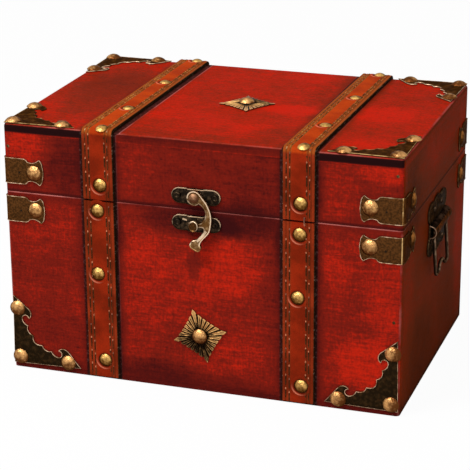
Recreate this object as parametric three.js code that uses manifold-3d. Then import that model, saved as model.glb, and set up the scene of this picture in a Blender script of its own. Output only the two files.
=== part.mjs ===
// A wooden storage box with leather straps and antique brass fittings, in millimetres.
// X runs along the front to the right, Y from the front to the back and Z up.
// The origin is the middle of the underside.
import * as THREE from "three";
import { mergeVertices } from "three/addons/utils/BufferGeometryUtils.js";
import Module from "manifold-3d";

const wasm = await Module();
wasm.setup();

// The wooden case
const WIDTH = 300;
const DEPTH = 205;
const HEIGHT = 191.6;
const SEAM_HEIGHT = 140.3;
const SEAM_GAP = 0.4;
const WALL = 8;
const TOP_BOARD = 7;
const BOTTOM_BOARD = 3.6;
const CORNER_ROUND = 3;
const LID_ROUND = 2.2;
const GLUE_LINE = 0.1;

// Clearances: under a fitting that lies on its seat, and round a piece that turns
const SEAT = 0.2;
const PLAY = 0.3;
// How far a cutting tool runs past what it cuts, and a joined piece reaches into its carrier
const OVERRUN = 2;
const SINK = 0.5;

// Domed nails, the large ones and the small ones on hinges and plates
const STUD_RADIUS = 5.4;
const STUD_DOME = 2.6;
const TACK_RADIUS = 2;
const TACK_DOME = 1.1;
const TACK_HOLE = 1.2;

// Leather straps
const STRAP_SPACING = 151;
const STRAP_WIDTH = 24;
const STRAP_THICKNESS = 2.5;
const STRAP_BEND = 1.8;
const STRAP_EDGE = 0.5;
const STRAP_END_GAP = 3;
const STRAP_FOOT = 2;
const STRAP_STUD_RADIUS = 4.9;
const STRAP_STUD_DOME = 2.3;
const LID_STUD_ABOVE_SEAM = 12.3;
const BASE_STUD_BELOW_SEAM = 9.2;
const BASE_STUD_FOOT = 15.8;
const BASE_STUD_PITCH = 67.1;

// Flat scrolled corner brackets
const BRACKET_STRAP_GAP = 7.3;
const BRACKET_THICKNESS = 0.9;
const BRACKET_INSET = 0.7;
const BRACKET_STUD_CORNER = 5.2;
const BRACKET_STUD_TIP = 10.3;
const BRACKET_STUD_EDGE = 4.4;

// Corner wraps, bent round the upright edges
const WRAP_LEG = 31;
const WRAP_HEIGHT = 19.6;
const WRAP_THICKNESS = 0.9;
const WRAP_STUD = 23.5;
const LID_WRAP_ABOVE_SEAM = 14.7;
const BASE_WRAP_BELOW_SEAM = 14.7;

// Star rosettes
const ROSETTE_TIP = 21;
const ROSETTE_EDGE = 0.8;
const ROSETTE_RELIEF = 1.1;
const ROSETTE_HOLE = 1.5;
const ROSETTE_LEAVES = 24;
const ROSETTE_TURN = 15.5;
const ROSETTE_NAIL_SHANK = 1.2;
const ROSETTE_NAIL_RADIUS = 5.9;
const ROSETTE_NAIL_DOME = 3.2;
const FRONT_ROSETTE_OFFSET = 0.6;
const FRONT_ROSETTE_HEIGHT = 43.6;
const TOP_ROSETTE_OFFSET = 4.3;
const TOP_ROSETTE_FORWARD = 3.2;

// Swing latch
const LATCH_OFFSET = -1;
const LATCH_PLATE_LENGTH = 37.2;
const LATCH_PLATE_WIDTH = 11.8;
const LATCH_PLATE_THICKNESS = 1;
const LATCH_BLOCK_HALF = 8.6;
const LATCH_BLOCK_SLOPE = 2.4;
const LATCH_BLOCK_RISE = 1.6;
const LATCH_SCREW_SPACING = 28.4;
const LATCH_SCREW_HEAD = 2.6;
const PIVOT_ABOVE_SEAM = 10.2;
const HOOK_DROP = 20.3;
const HOOK_REACH = 37;
const HOOK_EYE = 5.4;
const HOOK_THICKNESS = 2.8;
const HOOK_EDGE = 0.5;
const HOOK_LIFT = 3.2;
const CLAW_WIDTH = 1.8;
// From where to where the hook's arcs go, in degrees: its eye, and the inside and outside of its claw
const HOOK_EYE_ARC = [40, 315];
const CLAW_INSIDE_ARC = [30, -105];
const CLAW_OUTSIDE_ARC = [-112, -20];
const RIVET_SHANK = 2;
const RIVET_HEAD = 3.6;
const RIVET_DOME = 1.8;
const PIN_SHANK = 1.3;
const PIN_HEAD = 4;
const PIN_RIM = 0.8;
const PIN_DOME = 1.3;

// Handles
const HANDLE_HEIGHT = 113;
const HANDLE_PLATE_WIDTH = 57;
const HANDLE_PLATE_HEIGHT = 43;
const HANDLE_PLATE_THICKNESS = 1.2;
const BARREL_LENGTH = 50;
const BARREL_RADIUS = 5.25;
const BARREL_WALL = 1.6;
const BAIL_WIRE = 1.25;
const BAIL_WIDTH = 39;
const BAIL_DROP = 35;
const BAIL_STUB = 7;
const BAIL_BEND = 3.4;
const BAIL_STUB_BEND = 2;
const BAIL_BUMP = 5.5;
const BAIL_BUMP_HALF = 9.5;
const BAIL_TILT = 4;
const HANDLE_SCREW_TOP = [11, 13.2];
const HANDLE_SCREW_FOOT = [15.4, -15.6];
const HANDLE_SCREW_HEAD = 2.3;

// Hinges
const HINGE_SPACING = 76;
const HINGE_WIDTH = 34;
const HINGE_LEAF = 15;
const HINGE_THICKNESS = 1;
const KNUCKLE_RADIUS = 2.2;
const KNUCKLES = 3;
const HINGE_PIN = 1;
const HINGE_PIN_HEAD = 1.9;
const HINGE_PIN_CAP = 0.9;
const HINGE_TACK_IN = 5;
const HINGE_TACK_UP = 9.6;

// Facets of round pieces
const ROUND_SIDES = 12;
const DOME_RINGS = 2;
const ARC_SIDES = 3;
const OUTLINE_SIDES = 2;
const WIRE_SIDES = 8;
const BAIL_STEPS = 50;
const MERGE_DISTANCE = 1e-4;

// Half outlines as shares: a point on the edge, then in turns a curve's handle and its end
const BRACKET_EDGE_SHARES = [
  [1, 0.022], [0.92, 0.12], [0.844, 0.212], [0.793, 0.288], [0.732, 0.281], [0.684, 0.274], [0.668, 0.242],
  [0.727, 0.228], [0.714, 0.18], [0.697, 0.139], [0.651, 0.147], [0.593, 0.158], [0.567, 0.224],
  [0.462, 0.198], [0.429, 0.297], [0.279, 0.279],
];
const WRAP_EDGE_SHARES = [
  [0, 1], [0.24, 1], [0.48, 1], [0.56, 1], [0.6, 0.78], [0.7, 0.66], [0.79, 0.78], [0.84, 0.86], [0.9, 1],
  [0.98, 0.8], [0.98, 0.5], [1, 0.25], [1, 0],
];
const PLATE_EDGE_SHARES = [
  [0, 1], [0.22, 1.02], [0.34, 0.86], [0.5, 1], [0.72, 0.94], [1, 0.88], [1, 0.62], [1, 0.38], [0.87, 0.28],
  [0.84, 0.14], [0.84, 0],
];
// The latch hook's edges in shares of its reach, from the pivot
const HOOK_THROAT_SHARES = [[0.208, -0.205], [0.23, -0.32], [0.195, -0.432], [0.12, -0.497]];
const HOOK_TAIL_SHARES = [
  [0.18, -0.59], [0.188, -0.65], [0.138, -0.73], [0.08, -0.8], [0.025, -0.835], [-0.045, -0.856],
  [-0.082, -0.915], [-0.074, -0.965], [-0.02, -1.005], [0.06, -1.035], [0.105, -1.043], [0.14, -1.02],
  [0.152, -0.97], [0.128, -0.92], [0.138, -0.875], [0.188, -0.805], [0.254, -0.735], [0.314, -0.64],
  [0.347, -0.45], [0.336, -0.27], [0.257, -0.08],
];
const HOOK_TAIL_FROM_SHARE = 0.66;
const PADDLE_CENTRE_SHARES = [0.035, -0.945];
const PADDLE_SIZE_SHARES = [0.1, 0.08, 0.062];
// Leaf heights of a rosette from its hole to its rim, and where those rings lie
const LEAF_RISE_SHARES = [0.35, 0.8, 1, 0];
const LEAF_RING_SHARES = [0, 0.35, 0.72, 1];
const ROSETTE_WAIST_POWER = 1.15;
const ROSETTE_SCALLOP_SHARE = 0.07;
const LEAF_GROOVE_SHARE = 0.75;
// Where a lid strap's nails are on the top, from its middle to its front and back edges
const TOP_STUD_SHARES = [-0.985, -0.46, 0.29, 0.975];

const HALF_TURN = Math.PI;
const QUARTER_TURN = Math.PI / 2;

const redWood = new THREE.MeshStandardMaterial({ color: 0x93201a, roughness: 0.45, metalness: 0 });
const darkWood = new THREE.MeshStandardMaterial({ color: 0x54201a, roughness: 0.5, metalness: 0 });
const leather = new THREE.MeshStandardMaterial({ color: 0xa4521f, roughness: 0.6, metalness: 0 });
const bronze = new THREE.MeshStandardMaterial({ color: 0x57452c, roughness: 0.45, metalness: 0.9 });
const brass = new THREE.MeshStandardMaterial({ color: 0xb39263, roughness: 0.35, metalness: 0.9 });

const UP = new THREE.Vector3(0, 0, 1);
const FRONT = new THREE.Vector3(0, -1, 0);
const BACK = new THREE.Vector3(0, 1, 0);
const RIGHT = new THREE.Vector3(1, 0, 0);
const LEFT = new THREE.Vector3(-1, 0, 0);

// Solids: a closed geometry becomes a solid to be joined and cut, and the result a geometry again.
function toSolid(geometry) {
  const plain = geometry.clone();
  plain.deleteAttribute("normal");
  plain.deleteAttribute("uv");
  const merged = mergeVertices(plain, MERGE_DISTANCE);
  const corners = merged.index.array;
  const faces = [];
  for (let i = 0; i < corners.length; i += 3) {
    const [a, b, c] = [corners[i], corners[i + 1], corners[i + 2]];
    if (a !== b && b !== c && c !== a) faces.push(a, b, c);
  }
  const { array: vertProperties, itemSize: numProp } = merged.attributes.position;
  return new wasm.Manifold(new wasm.Mesh({ numProp, vertProperties, triVerts: new Uint32Array(faces) }));
}

function toGeometry(solid) {
  const mesh = solid.getMesh();
  const geometry = new THREE.BufferGeometry();
  geometry.setAttribute("position", new THREE.BufferAttribute(mesh.vertProperties.slice(), mesh.numProp));
  geometry.setIndex(new THREE.BufferAttribute(mesh.triVerts.slice(), 1));
  geometry.computeVertexNormals();
  return geometry;
}

function join(geometries) {
  return toGeometry(geometries.map(toSolid).reduce((sum, solid) => sum.add(solid)));
}

function cut(geometry, tools) {
  return toGeometry(tools.map(toSolid).reduce((rest, tool) => rest.subtract(tool), toSolid(geometry)));
}

function common(geometry, other) {
  return toGeometry(toSolid(geometry).intersect(toSolid(other)));
}

// Basic forms
function block(x, y, z) {
  const geometry = new THREE.BoxGeometry(x[1] - x[0], y[1] - y[0], z[1] - z[0]);
  return geometry.translate((x[0] + x[1]) / 2, (y[0] + y[1]) / 2, (z[0] + z[1]) / 2);
}

// A flat outline made thick along Z from zero, with an optional rounded edge kept inside the outline.
function prism(shape, thickness, edge = 0, curveSegments = ARC_SIDES) {
  return new THREE.ExtrudeGeometry(shape, {
    depth: thickness - 2 * edge,
    bevelEnabled: edge > 0,
    bevelThickness: edge,
    bevelSize: edge,
    bevelOffset: -edge,
    bevelSegments: 1,
    curveSegments,
  }).translate(0, 0, edge);
}

// A profile of radius and height points, turned round Z.
function turned(points, sides = ROUND_SIDES) {
  const profile = points.map(([radius, height]) => new THREE.Vector2(radius, height));
  return new THREE.LatheGeometry(profile, sides).rotateX(QUARTER_TURN);
}

function cylinder(radius, from, to) {
  return turned([[0, from], [radius, from], [radius, to], [0, to]]);
}

// Points of a dome's profile from its rim at height zero to its top.
function domePoints(radius, height, base = 0) {
  const ball = (radius ** 2 + height ** 2) / (2 * height);
  const spread = Math.asin(Math.min(1, radius / ball));
  const points = [];
  for (let i = 0; i <= DOME_RINGS; i++) {
    const angle = spread * (1 - i / DOME_RINGS);
    points.push([ball * Math.sin(angle), base + ball * Math.cos(angle) - ball + height]);
  }
  points[DOME_RINGS][0] = 0;
  return points;
}

function dome(radius, height) {
  return turned([[0, -SINK], [radius, -SINK], ...domePoints(radius, height)]);
}

function roundedRectangle(width, height, radius) {
  const x = width / 2;
  const y = height / 2;
  const shape = new THREE.Shape();
  shape.absarc(x - radius, radius - y, radius, -QUARTER_TURN, 0);
  shape.absarc(x - radius, y - radius, radius, 0, QUARTER_TURN);
  shape.absarc(radius - x, y - radius, radius, QUARTER_TURN, HALF_TURN);
  shape.absarc(radius - x, radius - y, radius, HALF_TURN, HALF_TURN + QUARTER_TURN);
  return shape;
}

// A path through points that are in turns an end and a curve's handle.
function curvedPath(shape, points) {
  for (let i = 1; i < points.length; i += 2) shape.quadraticCurveTo(...points[i], ...points[i + 1]);
  return shape;
}

function scaled(shares, x, y) {
  return shares.map(([across, along]) => [across * x, along * y]);
}

// Axes of a fitting on a face: its own Z points out of the face and its own Y up the face.
function faceAxes(out) {
  const up = out === UP ? BACK : UP;
  return new THREE.Matrix4().makeBasis(up.clone().cross(out), up, out);
}

function aimed(geometry, out, x, y, z) {
  return geometry.applyMatrix4(faceAxes(out)).translate(x, y, z);
}

// The axes of an outline drawn in Y and Z and made thick along X.
const ALONG_X = new THREE.Matrix4().makeBasis(BACK, UP, RIGHT);
// The axes of an outline drawn in X and Z and made thick along minus Y.
const ALONG_Y = new THREE.Matrix4().makeBasis(RIGHT, UP, FRONT);

function faceGroup(parent, out, x, y, z) {
  const group = new THREE.Group();
  group.quaternion.setFromRotationMatrix(faceAxes(out));
  group.position.set(x, y, z);
  parent.add(group);
  return group;
}

function addMesh(parent, name, geometry, material, x = 0, y = 0, turn = 0) {
  const mesh = new THREE.Mesh(geometry, material);
  mesh.name = name;
  mesh.position.set(x, y, 0);
  mesh.rotation.z = turn;
  parent.add(mesh);
  return mesh;
}

const box = new THREE.Group();
const base = new THREE.Group();
const lid = new THREE.Group();
box.add(base, lid);

const baseTop = SEAM_HEIGHT - SEAM_GAP / 2;
const lidBottom = SEAM_HEIGHT + SEAM_GAP / 2;
const sideX = WIDTH / 2;
const faceY = DEPTH / 2;

// The four corners, each a quarter turn on from the one before
const CORNERS = [["front_left", -1, -1], ["front_right", 1, -1], ["back_right", 1, 1], ["back_left", -1, 1]];
const SIDES = [["left", -1], ["right", 1]];

// Wooden panels: the front and back cover the ends of the sides, and all are cut from one rounded block.
function roundedBlock(bottom, top, edge) {
  const outline = roundedRectangle(WIDTH - 2 * edge, DEPTH - 2 * edge, CORNER_ROUND - edge);
  const options = {
    depth: top - bottom - edge,
    bevelEnabled: edge > 0,
    bevelThickness: edge,
    bevelSize: edge,
    bevelSegments: ARC_SIDES,
    curveSegments: ARC_SIDES,
  };
  return new THREE.ExtrudeGeometry(outline, options).translate(0, 0, bottom);
}

function addWalls(parent, prefix, z, envelope) {
  const inner = faceY - WALL;
  const x = [-sideX, sideX];
  const sideY = [GLUE_LINE - inner, inner - GLUE_LINE];
  addMesh(parent, prefix + "_front", common(block(x, [-faceY, -inner], z), envelope), redWood);
  addMesh(parent, prefix + "_back", common(block(x, [inner, faceY], z), envelope), redWood);
  for (const [side, sign] of SIDES) {
    const across = sign < 0 ? [-sideX, WALL - sideX] : [sideX - WALL, sideX];
    addMesh(parent, prefix + "_" + side, common(block(across, sideY, z), envelope), darkWood);
  }
}

function addCase() {
  const board = common(block([-sideX, sideX], [-faceY, faceY], [0, BOTTOM_BOARD]),
    roundedBlock(-OVERRUN, BOTTOM_BOARD + OVERRUN, 0));
  addMesh(base, "base_bottom", board, darkWood);
  addWalls(base, "base", [BOTTOM_BOARD + GLUE_LINE, baseTop], roundedBlock(0, HEIGHT, 0));
  const underTop = HEIGHT - TOP_BOARD;
  const lidBlock = roundedBlock(SEAM_HEIGHT - OVERRUN, HEIGHT, LID_ROUND);
  addWalls(lid, "lid", [lidBottom, underTop - GLUE_LINE], lidBlock);
  const top = common(block([-sideX, sideX], [-faceY, faceY], [underTop, HEIGHT]), lidBlock);
  addMesh(lid, "lid_top", top, redWood);
}

// Leather straps with domed nails
function lidStrapOutline() {
  const reach = faceY + SEAT;
  const top = HEIGHT + SEAT;
  const low = SEAM_HEIGHT + STRAP_END_GAP / 2;
  const outer = STRAP_BEND + STRAP_THICKNESS;
  const middle = reach - STRAP_BEND;
  const bend = top - STRAP_BEND;
  const shape = new THREE.Shape();
  shape.moveTo(-reach - STRAP_THICKNESS, low);
  shape.lineTo(-reach, low);
  shape.absarc(-middle, bend, STRAP_BEND, HALF_TURN, QUARTER_TURN, true);
  shape.absarc(middle, bend, STRAP_BEND, QUARTER_TURN, 0, true);
  shape.lineTo(reach, low);
  shape.lineTo(reach + STRAP_THICKNESS, low);
  shape.absarc(middle, bend, outer, 0, QUARTER_TURN);
  shape.absarc(-middle, bend, outer, QUARTER_TURN, HALF_TURN);
  return shape;
}

function lidStrap() {
  const strap = prism(lidStrapOutline(), STRAP_WIDTH, STRAP_EDGE).translate(0, 0, -STRAP_WIDTH / 2);
  const out = SEAT + STRAP_THICKNESS;
  const studHeight = SEAM_HEIGHT + LID_STUD_ABOVE_SEAM;
  const studs = [
    aimed(dome(STRAP_STUD_RADIUS, STRAP_STUD_DOME), FRONT, 0, -faceY - out, studHeight),
    aimed(dome(STRAP_STUD_RADIUS, STRAP_STUD_DOME), BACK, 0, faceY + out, studHeight),
  ];
  for (const share of TOP_STUD_SHARES) {
    studs.push(dome(STRAP_STUD_RADIUS, STRAP_STUD_DOME).translate(0, share * faceY, HEIGHT + out));
  }
  return join([strap.applyMatrix4(ALONG_X), ...studs]);
}

function baseStrap() {
  const top = SEAM_HEIGHT - STRAP_END_GAP / 2;
  const length = top - STRAP_FOOT;
  const outline = new THREE.Shape();
  outline.moveTo(-STRAP_WIDTH / 2, STRAP_FOOT);
  outline.lineTo(STRAP_WIDTH / 2, STRAP_FOOT);
  outline.lineTo(STRAP_WIDTH / 2, STRAP_FOOT + length);
  outline.lineTo(-STRAP_WIDTH / 2, STRAP_FOOT + length);
  const strap = prism(outline, STRAP_THICKNESS, STRAP_EDGE).translate(0, 0, SEAT);
  const heights = [BASE_STUD_FOOT, BASE_STUD_FOOT + BASE_STUD_PITCH, SEAM_HEIGHT - BASE_STUD_BELOW_SEAM];
  const out = SEAT + STRAP_THICKNESS;
  const studs = heights.map((height) => dome(STRAP_STUD_RADIUS, STRAP_STUD_DOME).translate(0, height, out));
  return join([strap, ...studs]);
}

function addStraps(front, back) {
  for (const [side, sign] of SIDES) {
    const x = (sign * STRAP_SPACING) / 2;
    addMesh(lid, "lid_strap_" + side, lidStrap(), leather, x);
    addMesh(front, "base_strap_front_" + side, baseStrap(), leather, x);
    addMesh(back, "base_strap_back_" + side, baseStrap(), leather, -x);
  }
}

// Flat corner brackets: a scalloped inner edge between two scrolls, the same on both sides of the diagonal.
// Their legs end short of the straps.
const bracketLeg = (WIDTH - STRAP_SPACING - STRAP_WIDTH) / 2 - BRACKET_INSET - BRACKET_STRAP_GAP;

function bracket() {
  const half = scaled(BRACKET_EDGE_SHARES, bracketLeg, bracketLeg);
  const mirrored = half.slice(0, -1).reverse().map(([x, y]) => [y, x]);
  const shape = new THREE.Shape();
  shape.moveTo(0, 0);
  shape.lineTo(bracketLeg, 0);
  shape.lineTo(...half[0]);
  curvedPath(shape, [...half, ...mirrored]);
  shape.lineTo(0, bracketLeg);
  const plate = prism(shape, BRACKET_THICKNESS, 0, OUTLINE_SIDES).translate(0, 0, SEAT);
  const places = [
    [BRACKET_STUD_CORNER, BRACKET_STUD_CORNER],
    [bracketLeg - BRACKET_STUD_TIP, BRACKET_STUD_EDGE],
    [BRACKET_STUD_EDGE, bracketLeg - BRACKET_STUD_TIP],
  ];
  const out = SEAT + BRACKET_THICKNESS;
  const studs = places.map(([x, y]) => dome(STUD_RADIUS, STUD_DOME).translate(x, y, out));
  return join([plate, ...studs]);
}

function addBrackets(front, top) {
  const inX = sideX - BRACKET_INSET;
  const inY = faceY - BRACKET_INSET;
  CORNERS.forEach(([corner, x, y], turn) => {
    addMesh(top, "bracket_top_" + corner, bracket(), bronze, x * inX, y * inY, turn * QUARTER_TURN);
  });
  for (const [index, [side, sign]] of SIDES.entries()) {
    const turn = index * QUARTER_TURN;
    addMesh(front, "bracket_bottom_" + side, bracket(), bronze, sign * inX, BOTTOM_BOARD, turn);
  }
}

// Corner wraps: a strip bent round the upright edge, with a fishtail at both ends
function wrapStrip() {
  const inside = -SEAT;
  const outside = -SEAT - WRAP_THICKNESS;
  const shape = new THREE.Shape();
  shape.moveTo(WRAP_LEG + OVERRUN, inside);
  shape.absarc(CORNER_ROUND, CORNER_ROUND, CORNER_ROUND + SEAT, -QUARTER_TURN, -HALF_TURN, true);
  shape.lineTo(inside, WRAP_LEG + OVERRUN);
  shape.lineTo(outside, WRAP_LEG + OVERRUN);
  const bend = CORNER_ROUND + SEAT + WRAP_THICKNESS;
  shape.absarc(CORNER_ROUND, CORNER_ROUND, bend, HALF_TURN, HALF_TURN + QUARTER_TURN);
  shape.lineTo(WRAP_LEG + OVERRUN, outside);
  return prism(shape, WRAP_HEIGHT).translate(0, 0, -WRAP_HEIGHT / 2);
}

function wrapLegMask() {
  const half = scaled(WRAP_EDGE_SHARES, WRAP_LEG, WRAP_HEIGHT / 2);
  const mirrored = half.slice(0, -1).reverse().map(([x, y]) => [x, -y]);
  const start = -SEAT - WRAP_THICKNESS - OVERRUN;
  const shape = new THREE.Shape();
  shape.moveTo(start, -WRAP_HEIGHT / 2);
  shape.lineTo(start, WRAP_HEIGHT / 2);
  shape.lineTo(...half[0]);
  curvedPath(shape, [...half, ...mirrored]);
  const depth = CORNER_ROUND + SEAT + WRAP_THICKNESS + OVERRUN;
  return aimed(prism(shape, depth, 0, OUTLINE_SIDES), FRONT, 0, CORNER_ROUND, 0);
}

function wrap() {
  const diagonal = new THREE.Vector3(1, 1, 0).normalize();
  const swap = new THREE.Matrix4().makeRotationAxis(diagonal, HALF_TURN);
  const strip = common(wrapStrip(), join([wrapLegMask(), wrapLegMask().applyMatrix4(swap)]));
  const out = -SEAT - WRAP_THICKNESS;
  const studs = [
    aimed(dome(STUD_RADIUS, STUD_DOME), FRONT, WRAP_STUD, out, 0),
    aimed(dome(STUD_RADIUS, STUD_DOME), LEFT, out, WRAP_STUD, 0),
  ];
  return join([strip, ...studs]);
}

function addWraps() {
  CORNERS.forEach(([corner, x, y], turn) => {
    const bodies = [["lid", lid, LID_WRAP_ABOVE_SEAM], ["base", base, -BASE_WRAP_BELOW_SEAM]];
    for (const [name, body, above] of bodies) {
      const angle = turn * QUARTER_TURN;
      const mesh = addMesh(body, "wrap_" + name + "_" + corner, wrap(), bronze, x * sideX, y * faceY, angle);
      mesh.position.z = SEAM_HEIGHT + above;
    }
  });
}

// Star rosettes: leaves round a nail hole, long at the four points, each with a ridge between two grooves
function rosette() {
  const spokes = 2 * ROSETTE_LEAVES;
  const positions = [];
  const rings = LEAF_RING_SHARES.length + 2;
  for (let i = 0; i < spokes; i++) {
    const angle = (i / spokes) * 2 * HALF_TURN;
    const [c, s] = [Math.cos(angle), Math.sin(angle)];
    const ridge = i % 2 === 0;
    const spread = Math.abs(c) + Math.abs(s);
    const rim = ROSETTE_TIP * spread ** -ROSETTE_WAIST_POWER * (ridge ? 1 : 1 - ROSETTE_SCALLOP_SHARE);
    const place = (radius, height) => positions.push(radius * c, radius * s, height);
    LEAF_RING_SHARES.forEach((share, ring) => {
      const rise = ROSETTE_RELIEF * LEAF_RISE_SHARES[ring] * (ridge ? 1 : 1 - LEAF_GROOVE_SHARE);
      place(ROSETTE_HOLE + (rim - ROSETTE_HOLE) * share, SEAT + ROSETTE_EDGE + rise);
    });
    place(rim, SEAT);
    place(ROSETTE_HOLE, SEAT);
  }
  const faces = [];
  for (let i = 0; i < spokes; i++) {
    for (let ring = 0; ring < rings; ring++) {
      const a = i * rings + ring;
      const b = i * rings + ((ring + 1) % rings);
      const c = ((i + 1) % spokes) * rings + ring;
      const d = ((i + 1) % spokes) * rings + ((ring + 1) % rings);
      faces.push(a, b, d, a, d, c);
    }
  }
  const geometry = new THREE.BufferGeometry();
  geometry.setAttribute("position", new THREE.Float32BufferAttribute(positions, 3));
  geometry.setIndex(faces);
  return toGeometry(toSolid(geometry));
}

function rosetteNail() {
  const seat = SEAT + ROSETTE_EDGE + ROSETTE_RELIEF + PLAY;
  const radius = ROSETTE_NAIL_RADIUS;
  const points = [[0, SEAT], [ROSETTE_NAIL_SHANK, SEAT], [ROSETTE_NAIL_SHANK, seat], [radius, seat]];
  return turned([...points, ...domePoints(radius, ROSETTE_NAIL_DOME, seat).slice(1)]);
}

function addRosettes(front, top) {
  const turn = THREE.MathUtils.degToRad(ROSETTE_TURN);
  const places = [
    ["front", front, FRONT_ROSETTE_OFFSET, FRONT_ROSETTE_HEIGHT],
    ["top", top, TOP_ROSETTE_OFFSET, -TOP_ROSETTE_FORWARD],
  ];
  for (const [name, face, x, y] of places) {
    addMesh(face, "rosette_" + name, rosette(), brass, x, y, turn);
    addMesh(face, "rosette_nail_" + name, rosetteNail(), brass, x, y, turn);
  }
}

// Swing latch: heights above the wooden face
const latchBlockTop = SEAT + LATCH_PLATE_THICKNESS + LATCH_BLOCK_RISE;
const hookBack = latchBlockTop + PLAY;
const hookFront = hookBack + HOOK_THICKNESS;
const headBack = hookFront + PLAY;

function latchPlate(shank) {
  const radius = LATCH_PLATE_WIDTH / 2;
  const wings = prism(roundedRectangle(LATCH_PLATE_LENGTH, LATCH_PLATE_WIDTH, radius - GLUE_LINE),
    LATCH_PLATE_THICKNESS, 0, 2 * ARC_SIDES).translate(0, 0, SEAT);
  const profile = new THREE.Shape();
  profile.moveTo(-LATCH_BLOCK_HALF, SEAT);
  profile.lineTo(LATCH_BLOCK_HALF, SEAT);
  profile.lineTo(LATCH_BLOCK_HALF - LATCH_BLOCK_SLOPE, latchBlockTop);
  profile.lineTo(LATCH_BLOCK_SLOPE - LATCH_BLOCK_HALF, latchBlockTop);
  const raised = prism(profile, LATCH_PLATE_WIDTH).applyMatrix4(ALONG_Y).translate(0, radius, 0);
  const holes = [cylinder(shank + PLAY, SEAT - OVERRUN, latchBlockTop + OVERRUN)];
  for (const sign of [-1, 1]) {
    const hole = cylinder(TACK_HOLE + PLAY, SEAT - OVERRUN, latchBlockTop + OVERRUN);
    holes.push(hole.translate((sign * LATCH_SCREW_SPACING) / 2, 0, 0));
  }
  return cut(join([wings, raised]), holes);
}

function latchScrew() {
  const seat = SEAT + LATCH_PLATE_THICKNESS + GLUE_LINE;
  const points = [[0, SEAT], [TACK_HOLE, SEAT], [TACK_HOLE, seat], [LATCH_SCREW_HEAD, seat]];
  return turned([...points, ...domePoints(LATCH_SCREW_HEAD, TACK_DOME, seat).slice(1)]);
}

// The hook turns on the rivet at its eye, and its claw lies under the catch pin's shank, behind the head.
function hookOutline() {
  const claw = PIN_SHANK + PLAY;
  const throat = scaled(HOOK_THROAT_SHARES, HOOK_REACH, HOOK_REACH).map(([x, y]) => new THREE.Vector2(x, y));
  const tail = scaled(HOOK_TAIL_SHARES, HOOK_REACH, HOOK_REACH).map(([x, y]) => new THREE.Vector2(x, y));
  const radians = (arc) => arc.map((angle) => THREE.MathUtils.degToRad(angle));
  const shape = new THREE.Shape();
  shape.absarc(0, 0, HOOK_EYE, ...radians(HOOK_EYE_ARC));
  shape.splineThru(throat);
  shape.absarc(0, -HOOK_DROP, claw, ...radians(CLAW_INSIDE_ARC), true);
  shape.absarc(0, -HOOK_DROP, claw + CLAW_WIDTH, ...radians(CLAW_OUTSIDE_ARC));
  shape.splineThru(tail);
  return shape;
}

function liftTail(geometry) {
  const points = geometry.attributes.position;
  const from = HOOK_TAIL_FROM_SHARE * HOOK_REACH;
  for (let i = 0; i < points.count; i++) {
    const share = Math.max(0, (-points.getY(i) - from) / (HOOK_REACH - from));
    points.setZ(i, points.getZ(i) + HOOK_LIFT * share ** 2);
  }
  return geometry;
}

function latchHook() {
  const body = prism(hookOutline(), HOOK_THICKNESS, HOOK_EDGE).translate(0, 0, hookBack);
  const [width, height, thickness] = PADDLE_SIZE_SHARES.map((share) => share * HOOK_REACH);
  const [x, y] = PADDLE_CENTRE_SHARES.map((share) => share * HOOK_REACH);
  const paddle = new THREE.SphereGeometry(1, ROUND_SIDES, 2 * DOME_RINGS).scale(width, height, thickness);
  paddle.translate(x, y, hookFront - HOOK_THICKNESS / 2);
  const eye = cylinder(RIVET_SHANK + PLAY, hookBack - OVERRUN, hookFront + OVERRUN);
  return liftTail(cut(join([body, paddle]), [eye]));
}

function latchRivet() {
  const points = [[0, SEAT], [RIVET_SHANK, SEAT], [RIVET_SHANK, headBack], [RIVET_HEAD, headBack]];
  return turned([...points, ...domePoints(RIVET_HEAD, RIVET_DOME, headBack).slice(1)]);
}

function catchPin() {
  const rim = headBack + PIN_RIM;
  const points = [[0, SEAT], [PIN_SHANK, SEAT], [PIN_SHANK, headBack], [PIN_HEAD, headBack]];
  return turned([...points, ...domePoints(PIN_HEAD, PIN_DOME, rim)]);
}

function addLatch(lidFront, baseFront) {
  const pivot = SEAM_HEIGHT + PIVOT_ABOVE_SEAM;
  const pin = pivot - HOOK_DROP;
  addMesh(lidFront, "latch_plate_upper", latchPlate(RIVET_SHANK), bronze, LATCH_OFFSET, pivot);
  addMesh(baseFront, "latch_plate_lower", latchPlate(PIN_SHANK), bronze, LATCH_OFFSET, pin);
  addMesh(lidFront, "latch_hook", latchHook(), brass, LATCH_OFFSET, pivot);
  addMesh(lidFront, "latch_rivet", latchRivet(), brass, LATCH_OFFSET, pivot);
  addMesh(baseFront, "catch_pin", catchPin(), brass, LATCH_OFFSET, pin);
  for (const [side, sign] of SIDES) {
    const x = LATCH_OFFSET + (sign * LATCH_SCREW_SPACING) / 2;
    addMesh(lidFront, "latch_screw_upper_" + side, latchScrew(), bronze, x, pivot);
    addMesh(baseFront, "latch_screw_lower_" + side, latchScrew(), bronze, x, pin);
  }
}

// Handles: a lobed plate with a slotted barrel, and a wire bail whose turned-in ends lie in the barrel
const barrelSeat = SEAT + HANDLE_PLATE_THICKNESS;
const bailAxis = barrelSeat + PLAY + BAIL_WIRE;
const bailTilt = THREE.MathUtils.degToRad(BAIL_TILT);

function handlePlateOutline() {
  const quarter = scaled(PLATE_EDGE_SHARES, HANDLE_PLATE_WIDTH / 2, HANDLE_PLATE_HEIGHT / 2);
  const lower = quarter.slice(0, -1).reverse().map(([x, y]) => [x, -y]);
  const right = [...quarter, ...lower];
  const left = right.slice(0, -1).reverse().map(([x, y]) => [-x, y]);
  const shape = new THREE.Shape();
  shape.moveTo(...right[0]);
  return curvedPath(shape, [...right, ...left]);
}

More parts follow.
